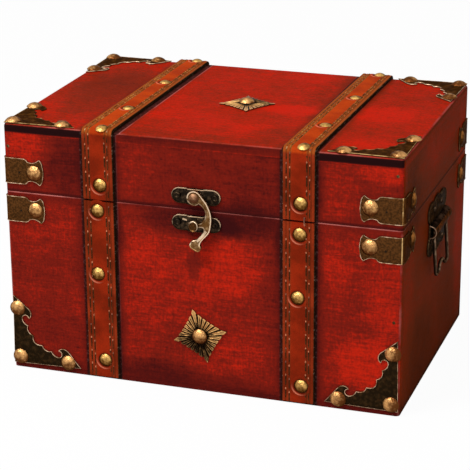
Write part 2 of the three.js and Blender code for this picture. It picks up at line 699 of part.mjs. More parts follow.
function barrel() {
  const inner = BARREL_RADIUS - BARREL_WALL;
  const shape = new THREE.Shape();
  shape.moveTo(BARREL_RADIUS, -SINK);
  shape.absarc(0, 0, BARREL_RADIUS, 0, HALF_TURN);
  shape.lineTo(-BARREL_RADIUS, -SINK);
  shape.lineTo(-inner, -SINK);
  shape.absarc(0, 0, inner, HALF_TURN, 0, true);
  shape.lineTo(inner, -SINK);
  const arch = prism(shape, BARREL_LENGTH, 0, 2 * ARC_SIDES).applyMatrix4(ALONG_X);
  return arch.translate(-BARREL_LENGTH / 2, 0, barrelSeat);
}

// The slot that lets a leg of the bail swing from its rest to straight out.
function bailSlot() {
  const clear = BAIL_WIRE + PLAY;
  const reach = BARREL_RADIUS + OVERRUN;
  const [s, c] = [Math.sin(bailTilt), Math.cos(bailTilt)];
  const shape = new THREE.Shape();
  shape.moveTo(-s * clear, -c * clear);
  shape.lineTo(-s * clear - c * reach, -c * clear + s * reach);
  shape.lineTo((s - c) * reach, (s + c) * reach);
  shape.lineTo(c * clear + s * reach, -s * clear + c * reach);
  shape.lineTo(c * clear, -s * clear);
  return prism(shape, 2 * clear).applyMatrix4(ALONG_X).translate(-clear, 0, bailAxis);
}

function handlePlate() {
  const plate = prism(handlePlateOutline(), HANDLE_PLATE_THICKNESS, 0, OUTLINE_SIDES).translate(0, 0, SEAT);
  const screws = [];
  for (const [x, y] of [HANDLE_SCREW_TOP, HANDLE_SCREW_FOOT]) {
    for (const sign of [-1, 1]) {
      screws.push(dome(HANDLE_SCREW_HEAD, TACK_DOME).translate(sign * x, y, barrelSeat));
    }
  }
  const slots = [-1, 1].map((sign) => bailSlot().translate((sign * BAIL_WIDTH) / 2, 0, 0));
  return join([cut(barrel(), slots), plate, ...screws]);
}

// Points along a route of straight runs whose corners are rounded.
function roundedRoute(corners) {
  const route = [];
  corners.forEach(([x, y, radius], i) => {
    const here = new THREE.Vector2(x, y);
    if (!radius) {
      route.push(here);
      return;
    }
    const before = new THREE.Vector2(corners[i - 1][0], corners[i - 1][1]);
    const after = new THREE.Vector2(corners[i + 1][0], corners[i + 1][1]);
    const from = here.clone().add(before.sub(here).setLength(radius));
    const to = here.clone().add(after.sub(here).setLength(radius));
    route.push(...new THREE.QuadraticBezierCurve(from, here, to).getPoints(ARC_SIDES));
  });
  return route;
}

function handleBail() {
  const leg = BAIL_WIDTH / 2;
  const rise = BAIL_DROP - BAIL_BUMP;
  const corners = [
    [BAIL_STUB - leg, 0],
    [-leg, 0, BAIL_STUB_BEND],
    [-leg, BAIL_DROP, BAIL_BEND],
    [-BAIL_BUMP_HALF, BAIL_DROP, BAIL_BEND],
    [-BAIL_BUMP_HALF / 2, rise, BAIL_BEND],
    [BAIL_BUMP_HALF / 2, rise, BAIL_BEND],
    [BAIL_BUMP_HALF, BAIL_DROP, BAIL_BEND],
    [leg, BAIL_DROP, BAIL_BEND],
    [leg, 0, BAIL_STUB_BEND],
    [leg - BAIL_STUB, 0],
  ];
  const [s, c] = [Math.sin(bailTilt), Math.cos(bailTilt)];
  const points = roundedRoute(corners).map(({ x, y }) => new THREE.Vector3(x, -y * c, bailAxis + y * s));
  const path = new THREE.CatmullRomCurve3(points, false, "centripetal");
  const section = new THREE.Shape().absarc(0, 0, BAIL_WIRE, 0, 2 * HALF_TURN);
  const options = { steps: BAIL_STEPS, curveSegments: WIRE_SIDES / 2, extrudePath: path };
  return toGeometry(toSolid(new THREE.ExtrudeGeometry(section, options)));
}

function addHandles() {
  for (const [side, sign] of SIDES) {
    const face = faceGroup(base, sign < 0 ? LEFT : RIGHT, sign * sideX, 0, HANDLE_HEIGHT);
    addMesh(face, "handle_plate_" + side, handlePlate(), bronze);
    addMesh(face, "handle_bail_" + side, handleBail(), bronze);
  }
}

// Hinges: two leaves on the back face, their knuckles in turns round one pin
const hingeAxis = SEAT + KNUCKLE_RADIUS;
const knucklePitch = HINGE_WIDTH / KNUCKLES;

function hingeLeaf(upward, first) {
  const half = HINGE_WIDTH / 2;
  const start = KNUCKLE_RADIUS + PLAY;
  const across = upward > 0 ? [start, HINGE_LEAF] : [-HINGE_LEAF, -start];
  const pieces = [block([-half, half], across, [SEAT, SEAT + HINGE_THICKNESS])];
  for (let i = first; i < KNUCKLES; i += 2) {
    const from = i * knucklePitch - half + (i > 0 ? PLAY / 2 : 0);
    const to = (i + 1) * knucklePitch - half - (i < KNUCKLES - 1 ? PLAY / 2 : 0);
    const tongue = upward > 0 ? [0, start + SINK] : [-start - SINK, 0];
    pieces.push(block([from, to], tongue, [SEAT, SEAT + HINGE_THICKNESS]));
    pieces.push(cylinder(KNUCKLE_RADIUS, from, to).rotateY(QUARTER_TURN).translate(0, 0, hingeAxis));
  }
  const bore = cylinder(HINGE_PIN + PLAY, -half - OVERRUN, half + OVERRUN);
  for (const sign of [-1, 1]) {
    const x = sign * (half - HINGE_TACK_IN);
    pieces.push(dome(TACK_RADIUS, TACK_DOME).translate(x, upward * HINGE_TACK_UP, SEAT + HINGE_THICKNESS));
  }
  return cut(join(pieces), [bore.rotateY(QUARTER_TURN).translate(0, 0, hingeAxis)]);
}

function hingePin() {
  const half = HINGE_WIDTH / 2 + PLAY;
  const end = half + HINGE_PIN_CAP;
  const pin = turned([
    [0, -end], [HINGE_PIN_HEAD, -end], [HINGE_PIN_HEAD, -half], [HINGE_PIN, -half],
    [HINGE_PIN, half], [HINGE_PIN_HEAD, half], [HINGE_PIN_HEAD, end], [0, end],
  ]);
  return toGeometry(toSolid(pin.rotateY(QUARTER_TURN).translate(0, 0, hingeAxis)));
}

function addHinges(lidBack, baseBack) {
  for (const [side, sign] of SIDES) {
    const x = (-sign * HINGE_SPACING) / 2;
    addMesh(lidBack, "hinge_leaf_lid_" + side, hingeLeaf(1, 1), bronze, x, SEAM_HEIGHT);
    addMesh(baseBack, "hinge_leaf_base_" + side, hingeLeaf(-1, 0), bronze, x, SEAM_HEIGHT);
    addMesh(baseBack, "hinge_pin_" + side, hingePin(), bronze, x, SEAM_HEIGHT);
  }
}

const baseFront = faceGroup(base, FRONT, 0, -faceY, 0);
const baseBack = faceGroup(base, BACK, 0, faceY, 0);
const lidFront = faceGroup(lid, FRONT, 0, -faceY, 0);
const lidBack = faceGroup(lid, BACK, 0, faceY, 0);
const lidTop = faceGroup(lid, UP, 0, 0, HEIGHT);

addCase();
addStraps(baseFront, baseBack);
addBrackets(baseFront, lidTop);
addWraps();
addRosettes(baseFront, lidTop);
addLatch(lidFront, baseFront);
addHandles();
addHinges(lidBack, baseBack);

export default box;
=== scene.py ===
import math
import bpy
from mathutils import Matrix, Vector


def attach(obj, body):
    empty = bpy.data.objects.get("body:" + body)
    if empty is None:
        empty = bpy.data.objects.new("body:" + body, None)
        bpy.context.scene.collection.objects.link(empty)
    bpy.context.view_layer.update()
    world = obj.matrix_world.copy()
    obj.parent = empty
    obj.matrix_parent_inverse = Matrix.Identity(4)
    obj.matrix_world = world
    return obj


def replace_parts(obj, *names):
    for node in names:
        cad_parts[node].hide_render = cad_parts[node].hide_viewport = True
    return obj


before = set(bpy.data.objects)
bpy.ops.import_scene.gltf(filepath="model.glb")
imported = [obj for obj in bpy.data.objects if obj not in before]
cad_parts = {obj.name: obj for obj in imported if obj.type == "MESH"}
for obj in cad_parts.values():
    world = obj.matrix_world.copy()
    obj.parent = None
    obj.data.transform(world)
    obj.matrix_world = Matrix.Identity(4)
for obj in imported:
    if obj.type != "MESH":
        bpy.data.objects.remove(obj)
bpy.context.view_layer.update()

bpy.ops.object.select_all(action="DESELECT")

# The camera stands in front of the box, a little to its right and above it, as the photographer did.
# It is a long lens from about a metre and a half away, held almost level.
azimuth, elevation, roll = (math.radians(angle) for angle in (18.83, 19.69, -0.45))
aim, distance, flat = Vector((-0.0072, 0, 0.0856)), 1.4391, math.cos(elevation)
toward = Vector((math.sin(azimuth) * flat, -math.cos(azimuth) * flat, math.sin(elevation)))
level = Vector((math.cos(azimuth), math.sin(azimuth), 0))
upright = toward.cross(level)
across = math.cos(roll) * level + math.sin(roll) * upright
above = math.cos(roll) * upright - math.sin(roll) * level
bpy.ops.object.camera_add()
camera = bpy.context.object
camera.data.lens = 142.93
camera.data.sensor_width = 36
held = Matrix((across, above, toward)).transposed().to_4x4()
camera.matrix_world = Matrix.Translation(aim + distance * toward) @ held
bpy.context.scene.camera = camera

# The studio is a pale table in even light, with a broad soft lamp high on the left and a smaller one on the right.
# The camera and shiny metal see white all round, and that white doesn't light the box.


class Value:
    """An output of a shader node. Sums and products of it add Math nodes."""

    def __init__(self, finish, socket):
        self.finish = finish
        self.socket = socket

    def math(self, operation, *values):
        return self.finish.node("Math", {"operation": operation}, dict(enumerate(values)))

    def __add__(self, other):
        return self.math("ADD", self, other)

    def __radd__(self, other):
        return self.math("ADD", other, self)

    def __sub__(self, other):
        return self.math("SUBTRACT", self, other)

    def __rsub__(self, other):
        return self.math("SUBTRACT", other, self)

    def __mul__(self, other):
        return self.math("MULTIPLY", self, other)

    def __rmul__(self, other):
        return self.math("MULTIPLY", other, self)

    def __abs__(self):
        return self.math("ABSOLUTE", self)

    def most(self, other):
        return self.math("MAXIMUM", self, other)


class Finish:
    """Shader nodes round one shader: the Principled one of a new material, or the world's own."""

    def __init__(self, name, world=None):
        self.material = world or bpy.data.materials.new(name)
        self.material.use_nodes = True
        self.tree = self.material.node_tree
        self.shader = self.tree.nodes["Background" if world else "Principled BSDF"]

    def node(self, kind, settings=None, inputs=None, output=0):
        node = self.tree.nodes.new("ShaderNode" + kind)
        for name, value in (settings or {}).items():
            setattr(node, name, value)
        for name, value in (inputs or {}).items():
            self.feed(node.inputs[name], value)
        return Value(self, node.outputs[output])

    def feed(self, socket, value):
        if isinstance(value, Value):
            self.tree.links.new(value.socket, socket)
        else:
            socket.default_value = value

    def shade(self, **values):
        for name, value in values.items():
            self.feed(self.shader.inputs[name.replace("_", " ")], value)

    def place(self):
        return self.node("TexCoord", output="Object")

    def axes(self):
        split = self.node("SeparateXYZ", inputs={0: self.place()}).socket.node
        return [Value(self, socket) for socket in split.outputs]

    def noise(self, scale, stretch=(1, 1, 1), detail=2):
        stretched = self.node("Mapping", inputs={"Vector": self.place(), "Scale": stretch})
        return self.node("TexNoise", inputs={"Vector": stretched, "Scale": scale, "Detail": detail})

    def fade(self, value, start, end, low=0, high=1):
        """Goes smoothly from low where value is at start to high where it is at end."""
        names = ("Value", "From Min", "From Max", "To Min", "To Max")
        inputs = dict(zip(names, (value, start, end, low, high)))
        return self.node("MapRange", {"interpolation_type": "SMOOTHSTEP"}, inputs)

    def mix(self, share, first, second):
        """Blends two colours, each of them a Value or red, green and blue as a screen shows them."""
        first, second = (colour if isinstance(colour, Value) else tint(*colour) for colour in (first, second))
        return self.node("Mix", {"data_type": "RGBA"}, {0: share, 6: first, 7: second}, 2)

    def bump(self, height, depth):
        return self.node("Bump", inputs={"Height": height, "Distance": depth})


def tint(red, green, blue):
    """A colour as a screen shows it, from 0 to 255, in the linear values that shaders take."""
    parts = [part / 255 for part in (red, green, blue)]
    return (*[part / 12.92 if part <= 0.04045 else ((part + 0.055) / 1.055) ** 2.4 for part in parts], 1)


def seen_as_white(finish, share, *rays):
    """Mixes white into what a shader gives to these kinds of rays."""
    kind = finish.node("LightPath", output=rays[0])
    for ray in rays[1:]:
        kind = kind.most(finish.node("LightPath", output=ray))
    lit = Value(finish, finish.shader.outputs[0])
    mixed = finish.node("MixShader", inputs={0: kind * share, 1: lit, 2: finish.node("Emission")})
    output = next(node for node in finish.tree.nodes if node.type.startswith("OUTPUT"))
    finish.feed(output.inputs["Surface"], mixed)


bpy.context.scene.view_settings.view_transform = "Standard"
bpy.context.scene.world = bpy.data.worlds.new("studio")
room = Finish("room", bpy.context.scene.world)
room.shade(Color=(1, 1, 1, 1), Strength=0.36)
seen_as_white(room, 1, "Is Camera Ray", "Is Glossy Ray", "Is Transmission Ray")

for name, place, size, watts in (
    ("soft lamp", (-0.75, -1.0, 2.0), 0.9, 36),
    ("small lamp", (0.5, -1.6, 1.4), 0.3, 5),
):
    bpy.ops.object.light_add(type="AREA", location=place)
    lamp = bpy.context.object
    lamp.name = name
    lamp.data.shape = "DISK"
    lamp.data.size = size
    lamp.data.energy = watts
    lamp.rotation_euler = Vector(place).to_track_quat("Z", "Y").to_euler()

bpy.ops.mesh.primitive_plane_add(size=8)
table = bpy.context.object
table.name = "table"
table_paint = Finish("table_paint")
table_paint.shade(Base_Color=(0.9, 0.9, 0.9, 1), Roughness=0.9)
seen_as_white(table_paint, 0.96, "Is Camera Ray")
table.data.materials.append(table_paint.material)

# The case is thin board with a red stain, brighter in the middle of each panel and darker towards its edges.
# Its panels keep the shapes of the frame. Brush strokes run along the boards. The corners and the lips of the seam
# and top edge are pale, partly from rubbing and partly a painted highlight, and a painted shadow runs beside each
# strap.
# Lid and base are stained as one, so the pattern runs on over the seam.
half_width, half_depth, height, seam = 150, 102.5, 191.6, 140.3
strap_x, strap_half = 75.5, 12
reds = ((60, 17, 17), (122, 29, 19), (194, 36, 18))
browns = ((52, 23, 6), (104, 38, 9), (144, 35, 7))


def paint(piece, *materials):
    piece.data.materials.clear()
    for material in materials:
        piece.data.materials.append(material)
    return piece


def stained_wood(name, grain, face, level, spots, colours, border, rub_and_glint=1):
    """Stained board with its pattern in millimetres, on a face with two axes, u and v.

    Spots are brighter or darker. Faces that lie flat have the colours that are given. Upright faces
    are red, or brown at the sides. The last number sets how pale the corners and lips are painted, partly wear and
    partly a painted highlight.
    """
    wood = Finish(name)
    x, y, z = axes = [axis * 1000 for axis in wood.axes()]
    u, v = (axes[i] for i in face)
    waver = (wood.noise(35, detail=3) - 0.5) * 14
    lying, beyond = wood.fade(z, height - 1.3, height - 0.7), wood.fade(abs(x), half_width - 1, half_width - 0.2)
    dark, middle, bright = (
        wood.mix(lying, wood.mix(beyond, red, brown), stain) for red, brown, stain in zip(reds, browns, colours)
    )

    light = level - wood.fade(z, height - 4.8, height - 1.3) * (1 - lying) * 0.3
    for centre_u, centre_v, radius_u, radius_v, gain in spots:
        far_u, far_v = (u - centre_u + waver) * (1 / radius_u), (v - centre_v + waver) * (1 / radius_v)
        light = light + wood.fade(far_u * far_u + far_v * far_v, 0, 1.6, gain, 0)
    light = light + (wood.noise(16, detail=2) - 0.5) * 0.45
    streaks = wood.noise(50, grain, 4)
    fibres = wood.noise(170, grain, 2)
    speckle = wood.noise(520, detail=2)
    mottle, weave = wood.noise(90, detail=4), wood.noise(110, (7, 7, 1), 3)
    texture = (streaks - 0.5) * 0.7 + (fibres - 0.5) * 0.55 + (speckle - 0.5) * 0.75
    texture = texture + (mottle - 0.5) * 0.45 + (weave - 0.5) * 0.45

    beside = abs(x) - strap_x
    strap = abs(beside) - strap_half
    near_strap = wood.fade(strap + waver * 0.3, -1, 9, border, 0)
    near_seam = wood.fade(abs(z - seam) + waver * 0.6, 0, 9, 0.5 * border, 0)
    near_floor = wood.fade(z + waver * 0.5, 2, 16, 0.75 * border, 0)
    outer = wood.fade(abs(x), 86, 89, 0.4, 1) * (1 - beyond)
    near_top = wood.fade(z + waver * 0.12, height - 7, height - 5.2) * outer
    near_top = near_top * wood.fade(z, height - 1.4, height - 0.4, 1.25, 0)
    edges = near_strap.most(near_seam).most(near_floor).most(near_top)
    light = (light + texture * wood.fade(light, 0, 0.6, 0.4, 1)) * (1 - edges)
    colour = wood.mix(wood.fade(light, -0.15, 0.5), dark, middle)
    colour = wood.mix(wood.fade(light, 0.4, 1.1), colour, bright)
    colour = wood.mix(near_top * 0.65 * outer, colour, (26, 14, 14))

    # The lips of the seam and top edge and the upright corners are painted pale: partly rubbed wear, partly a
    # painted highlight where they catch the light.
    chafe_and_glint = wood.fade(wood.noise(45, detail=4), 0.35, 0.6, 0.12)
    base_lip = wood.fade(abs(z - seam + 0.5), 0.1, 0.7, 0.8, 0)
    lid_lip = wood.fade(abs(z - height + 0.5), 0.1, 0.5, 0.45, 0)
    lips = base_lip.most(lid_lip) * wood.fade(x, -86, -88, 1, 1.5) * wood.fade(abs(x), 20, 90, 0.45, 1)
    turn = half_width + half_depth
    corner = wood.fade(abs(x) + abs(y), turn - 2.2, turn - 1.8) * wood.fade(z, 136, 139, 0.4, 0)
    colour = wood.mix(corner.most(lips) * chafe_and_glint * rub_and_glint, colour, (192, 108, 100))
    colour = wood.mix(wood.fade(abs(z - seam - 0.9), 0.4, 1.4, 0.7, 0), colour, dark)

    # Painted shadow beside the straps: a dark band along the foot of each strap, wider on its right, where the
    # strap shades the wood, widest on top of the left strap, and a thinner one on its left on the upright faces. A
    # thin painted highlight runs along the outer side of the band on the right.
    on_top = wood.fade(z, height - 1.6, height - 0.4)
    right_of = beside * x.math("SIGN", x) - strap_half
    left_of = -2 * strap_half - right_of
    strap_shadow_reach = 1.2 + on_top * wood.fade(x, 1, -1, 0.4, 2.6)
    strap_shade = wood.fade(right_of - strap_shadow_reach, -0.3, 0.5, 1, 0) * wood.fade(right_of, -2, -1)
    strap_shade = strap_shade.most(wood.fade(left_of, 2, 3.2, 0.9, 0) * wood.fade(left_of, -1, 0) * (1 - lying))
    strap_shade = strap_shade.most(wood.fade(strap, 1.1, 2, 1, 0))
    shadow_speckle = wood.mix(wood.fade(speckle, 0.5, 0.7), (34, 20, 18), (74, 52, 50))
    colour = wood.mix(strap_shade * 0.85, colour, shadow_speckle)
    lit_edge_line = wood.fade(abs(right_of - strap_shadow_reach - 0.7), 0.2, 0.6, 0.45, 0) * (0.2 + on_top * 0.8) * chafe_and_glint
    colour = wood.mix(lit_edge_line * wood.fade(x, 1, -1, 0.2, 1), colour, (176, 120, 118))

    inside = wood.fade(abs(y), half_depth - 7.7, half_depth - 7, 1, 0)
    inside = inside * wood.fade(abs(x), half_width - 7.8, half_width - 7.2, 1, 0)
    inside = inside * wood.fade(z, height - 6.1, height - 5.6, 1, 0)
    bare = wood.mix(wood.noise(40, grain, 4), (96, 48, 28), (138, 78, 48))
    wood.shade(
        Base_Color=wood.mix(inside, colour, bare),
        Roughness=wood.fade(streaks, 0.3, 0.7, 0.42, 0.56) + inside * 0.2,
        Normal=wood.bump(fibres * 0.6 + streaks * 0.4, 0.0002),
        Specular_IOR_Level=0.002,
    )
    return wood.material


front_wood = stained_wood(
    "red_wood_front",
    grain=(1, 12, 12),
    face=(0, 2),
    level=0.5,
    spots=(
        (-30, 80, 45, 34, 0.17), (25, 98, 28, 24, 0.22), (30, 32, 28, 14, 0.15), (-45, 112, 16, 16, 0.1),
        (140, 92, 16, 40, 0.2), (102, 108, 14, 14, 0.2), (126, 38, 26, 22, 0.35), (-112, 86, 30, 22, -0.1),
        (-112, 38, 30, 22, -0.14), (136, 180, 20, 9, 0.3), (104, 166, 12, 20, 0.18), (-134, 176, 24, 16, 0.32),
        (-46, 170, 20, 16, 0.15), (42, 165, 24, 16, -0.1), (-10, 132, 34, 13, -0.4), (38, 136, 30, 16, -0.4),
        (-42, 30, 22, 14, 0.12), (-30, 11, 60, 9, -0.3), (-3, 98, 6, 11, -0.42), (57, 75, 12, 50, -0.15),
        (54, 187, 16, 4, -0.4), (-130, 0, 28, 7, -0.8), (136, 0, 20, 7, -0.6), (62, 120, 7, 16, -0.3),
        (-62, 120, 6, 16, -0.25), (22, 129, 12, 9, -0.25), (-98, 164, 24, 32, -0.3), (0, 168, 130, 26, -0.14),
    ),
    colours=reds,
    border=0.88,
)
top_wood = stained_wood(
    "red_wood_top",
    grain=(1, 16, 16),
    face=(0, 1),
    level=0.73,
    spots=(
        (-28, -44, 34, 16, 0.15), (22, -58, 26, 14, 0.15), (40, -8, 26, 14, 0.35), (108, 0, 24, 22, 0.3),
        (112, -74, 18, 14, 0.15), (30, 84, 26, 14, 0.15), (-110, 4, 34, 70, -0.34), (54, 55, 14, 44, -0.15),
        (48, -72, 16, 22, -0.2), (0, -96, 80, 12, -0.12),
    ),
    colours=((58, 20, 9), (128, 35, 14), (198, 32, 12)),
    border=0.5,
)
side_wood = stained_wood(
    "red_wood_side",
    grain=(24, 1, 24),
    face=(1, 2),
    level=0.5,
    spots=(
        (88, 100, 22, 90, 0.4), (-84, 70, 22, 60, 0.2), (20, 172, 80, 16, 0.25), (-10, 70, 40, 30, 0.1),
        (-50, 30, 50, 30, -0.3), (0, 100, 40, 14, -0.3), (-76, 150, 30, 34, -0.25), (40, 50, 30, 34, -0.15),
    ),
    colours=browns,
    border=0.3,
    rub_and_glint=0.12,
)
edge_wood = stained_wood("red_wood_edge", (1, 24, 24), (0, 2), 0.2, (), reds, 0.5)
walls = {"front": front_wood, "back": front_wood, "left": side_wood, "right": side_wood}
for body, faces in (("base", {**walls, "bottom": edge_wood}), ("lid", {**walls, "top": top_wood})):
    for face, stain in faces.items():
        paint(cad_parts[f"{body}_{face}"], stain)

# Domed nails of antique brass, spun from sheet and browned, then rubbed. Their upper sides get a painted
# highlight.
# One nail is modelled and copied: three in each bracket, two in each wrap and a row down each strap.


def laid(points, fill="NOTHING"):
    """A ring of corners laid on points in turn. With a face across it, its points run anticlockwise."""
    bpy.ops.object.select_all(action="DESELECT")
    bpy.ops.mesh.primitive_circle_add(vertices=len(points), fill_type=fill)
    piece = bpy.context.object
    order = range(len(points)) if fill == "NOTHING" else piece.data.polygons[0].vertices
    for corner, point in zip(order, points):
        piece.data.vertices[corner].co = point
    return piece


def picked(*pieces):
    """Selects these pieces alone, the first of them active."""
    bpy.ops.object.select_all(action="DESELECT")
    for piece in pieces:
        piece.select_set(True)
    bpy.context.view_layer.objects.active = pieces[0]


def smooth(piece, angle=40):
    picked(piece)
    bpy.ops.object.shade_smooth_by_angle(angle=math.radians(angle))
    return piece


def turned(profile, steps=24):
    """A round piece: its profile of radius and height in millimetres, spun about Z."""
    piece = laid([(radius, 0, height) for radius, height in profile])
    bpy.ops.object.mode_set(mode="EDIT")
    bpy.ops.mesh.select_all(action="SELECT")
    bpy.ops.mesh.spin(steps=steps, angle=2 * math.pi, center=(0, 0, 0), axis=(0, 0, 1))
    bpy.ops.mesh.select_all(action="SELECT")
    bpy.ops.mesh.remove_doubles(threshold=0.001)
    bpy.ops.mesh.dissolve_degenerate()
    bpy.ops.mesh.select_all(action="SELECT")
    bpy.ops.mesh.normals_make_consistent(inside=False)
    bpy.ops.object.mode_set(mode="OBJECT")
    return smooth(piece)


def dome(radius, height, base=0, rings=7):
    """A dome's profile from the middle of its underside round its rim to its top."""
    ball = (radius ** 2 + height ** 2) / (2 * height)
    spread = math.asin(min(1, radius / ball))
    if height > ball:
        spread = math.pi - spread
    points = [(0, base)]
    for ring in range(rings + 1):
        angle = spread * (1 - ring / rings)
        points.append((ball * math.sin(angle), base + ball * math.cos(angle) - ball + height))
    return points


def copied(piece):
    twin = piece.copy()
    twin.data = piece.data.copy()
    bpy.context.collection.objects.link(twin)
    return twin


def moved(piece, where):
    piece.data.transform(where)
    return piece


def joined(pieces):
    picked(*pieces)
    bpy.ops.object.join()
    return bpy.context.object


def put(piece, name, where, body):
    """Sets a piece that is modelled in millimetres on the box, with its place in its mesh."""
    piece.data.transform(Matrix.Scale(0.001, 4) @ where)
    piece.name = piece.data.name = name
    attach(piece, body)
    return piece


def metal(name, light, dull, blotch=(0.42, 0.7), rough=0.4, dents=0.0004, grain=330, glance=0.3, wear_and_light=False):
    """A metal that goes from dull to light in blotches, or where its points are marked for wear and for painted
    light, with hand-made dents.
    """
    finish = Finish(name)
    pattern = finish.noise(grain, detail=3)
    if wear_and_light:
        pattern = pattern * 1.1 - 0.3 + finish.node("Attribute", {"attribute_name": "wear_and_light"}, output=2)
    specks = finish.noise(1400, detail=2)
    finish.shade(
        Base_Color=finish.mix(finish.fade(pattern, *blotch), dull, light),
        Metallic=1.0,
        Specular_Tint=(glance, glance, glance, 1),
        Roughness=finish.fade(specks, 0.3, 0.7, rough - 0.06, rough + 0.08),
        Normal=finish.bump(finish.noise(420, detail=2) * 0.8 + specks * 0.2, dents),
    )
    return finish.material


nail_brass, strap_brass, shaded_side_brass = (
    metal(name, light, dull, (0.4, 1.1), rough, dents=0.0009, grain=430, glance=glance, wear_and_light=True)
    for name, light, dull, rough, glance in (
        ("nail_brass", (212, 158, 98), (96, 54, 24), 0.34, 0.5),
        ("strap_brass", (218, 170, 96), (98, 62, 22), 0.34, 0.5),
        # A darker, browner brass for the nails on the sides: painted shade.
        ("shaded_side_brass", (164, 106, 54), (66, 40, 20), 0.4, 0.4),
    )
)


def marked(piece, rule, name="wear_and_light"):
    """Gives each point of a piece a mark that its material reads: one number, or a rule for its place."""
    marks = piece.data.attributes.new(name, "FLOAT", "POINT")
    for corner, mark in zip(piece.data.vertices, marks.data):
        mark.value = rule(*corner.co) if callable(rule) else rule
    return piece


def domed_nail(radius, rise, brass=nail_brass):
    """A nail with a painted highlight toward its upper side and a little to its right, and a skirt darkened by
    tarnish and by painted contact shade.
    """
    return marked(paint(turned(dome(radius, rise)), brass), lambda x, y, z: (
        0.42 + (0.42 * y + 0.1 * x) / radius - 0.4 * max(0, math.hypot(x, y) / radius - 0.85) / 0.15
    ))


nail, strap_nail = domed_nail(6.0, 2.9), domed_nail(4.9, 2.3, strap_brass)


def nails(name, pattern, places, body):
    """Copies of a nail at these places, as one piece. Those on the sides are driven flatter and painted browner
    and darker as painted shade. Those on top are turned half round, so that the painted highlight of each faces
    the front.
    """
    group = []
    for where in places:
        out = where.to_3x3().col[2]
        sideways, half_turn = abs(out.x) > 0.9, math.pi * (out.z > 0.9)
        flatter = Matrix.Scale(0.7 if sideways else 1, 4, (0, 0, 1))
        copy = moved(copied(pattern), where @ Matrix.Rotation(half_turn, 4, "Z") @ flatter)
        group.append(paint(copy, shaded_side_brass) if sideways else copy)
    return put(joined(group), name + "_nails", Matrix(), body)


# Corner brackets of thin bronzed sheet, with a scalloped inner edge between two scrolls and a raised rim.
# The field is dark and mottled, and the rim is rubbed to a pale line. Each is held by three nails.


def curved(points, steps=5):
    """A line through points that are in turns an end and the handle of a curve."""
    line = [points[0]]
    for i in range(1, len(points) - 1, 2):
        (x0, y0), (x1, y1), (x2, y2) = points[i - 1:i + 2]
        for step in range(1, steps + 1):
            t = step / steps
            a, b, c = (1 - t) ** 2, 2 * t * (1 - t), t ** 2
            line.append((a * x0 + b * x1 + c * x2, a * y0 + b * y1 + c * y2))
    return line


def at(x=0, y=0, z=0):
    return Matrix.Translation((x, y, z))


def thickened(points, thickness, bevel, lift=0.2):
    """A sheet with this outline and eased edges, lifted off its seat."""
    sheet = laid([(x, y, 0) for x, y in points], "NGON")
    return walled(sheet, thickness, bevel, segments=2, angle=40, lift=thickness + lift)


def walled(piece, thickness, bevel, segments, angle, lift):
    """Gives a surface its thickness below its face, eases its edges and lifts it."""
    wall = piece.modifiers.new("wall", "SOLIDIFY")
    wall.thickness = thickness
    wall.offset = -1
    eased = piece.modifiers.new("edge", "BEVEL")
    eased.width = bevel
    eased.segments = segments
    eased.limit_method = "ANGLE"
    eased.angle_limit = math.radians(angle)
    for modifier in (wall, eased):
        bpy.ops.object.modifier_apply(modifier=modifier.name)
    return moved(piece, at(z=lift))


def scaled(points, width, depth):
    return [(x * width, y * depth) for x, y in points]


def drawn_in(points, distance):
    """An outline moved inwards by a distance, each corner along its own bisector."""
    inner = []
    for i, (x, y) in enumerate(points):
        (x0, y0), (x1, y1) = points[i - 1], points[(i + 1) % len(points)]
        before, after = Vector((x - x0, y - y0)).normalized(), Vector((x1 - x, y1 - y)).normalized()
        along = (before + after).normalized()
        inner.append((x - along.y * distance, y + along.x * distance))
    return inner


def cleared(piece, kind, unwanted):
    """Deletes the edges or faces of a piece that unwanted is true for."""
    bpy.ops.object.mode_set(mode="EDIT")
    bpy.ops.mesh.select_mode(type=kind)
    bpy.ops.mesh.select_all(action="DESELECT")
    bpy.ops.object.mode_set(mode="OBJECT")
    for item in piece.data.edges if kind == "EDGE" else piece.data.polygons:
        item.select = unwanted(item)
    bpy.ops.object.mode_set(mode="EDIT")
    bpy.ops.mesh.delete(type=kind)
    bpy.ops.mesh.select_mode(type="VERT")
    bpy.ops.object.mode_set(mode="OBJECT")


def wired(points, radius, closed=True, sides=1):
    """A round wire along a line of points in space."""
    piece = laid(points)
    if not closed:
        cleared(piece, "EDGE", lambda edge: set(edge.vertices) == {0, len(points) - 1})
    bpy.ops.object.convert(target="CURVE")
    piece = bpy.context.object
    piece.data.bevel_depth = radius
    piece.data.bevel_resolution = sides
    piece.data.use_fill_caps = not closed
    bpy.ops.object.convert(target="MESH")
    return bpy.context.object


def repaint(piece, material, chosen):
    """Gives another material to the faces that chosen is true for."""
    piece.data.materials.append(material)
    for face in piece.data.polygons:
        if chosen(face):
            face.material_index = len(piece.data.materials) - 1
    return piece


dark_bronze = metal("dark_bronze", (104, 70, 36), (68, 44, 21), rough=0.5)
foot_bronze = metal("foot_bronze", (56, 39, 21), (34, 24, 13), rough=0.5)
# A pale brass for edges that are rubbed and also carry a painted highlight.
rubbed_and_lit_brass = metal("rubbed_and_lit_brass", (226, 184, 122), (140, 98, 52), (0.35, 0.6), 0.4, 0.0003, 200, 0.5)
dull_rim = metal("dull_rim", (150, 112, 74), (66, 46, 26), (0.45, 0.7), 0.45, 0.0003, 240, 0.4)
worn_bronze = metal("worn_bronze", (232, 196, 160), (128, 96, 62), (0.34, 0.62), 0.38, 0.0003, 240, 0.5)


def rimmed(outline, thickness, rim, lift=0.2, field=dark_bronze):
    """A dark sheet with a wire of paler metal round its edge."""
    plate = paint(thickened(outline, thickness, 0.1, lift), field)
    line = [(x, y, lift + thickness) for x, y in drawn_in(outline, 0.8 * rim)]
    edge = paint(wired(line, rim), worn_bronze)
    return joined([plate, edge])


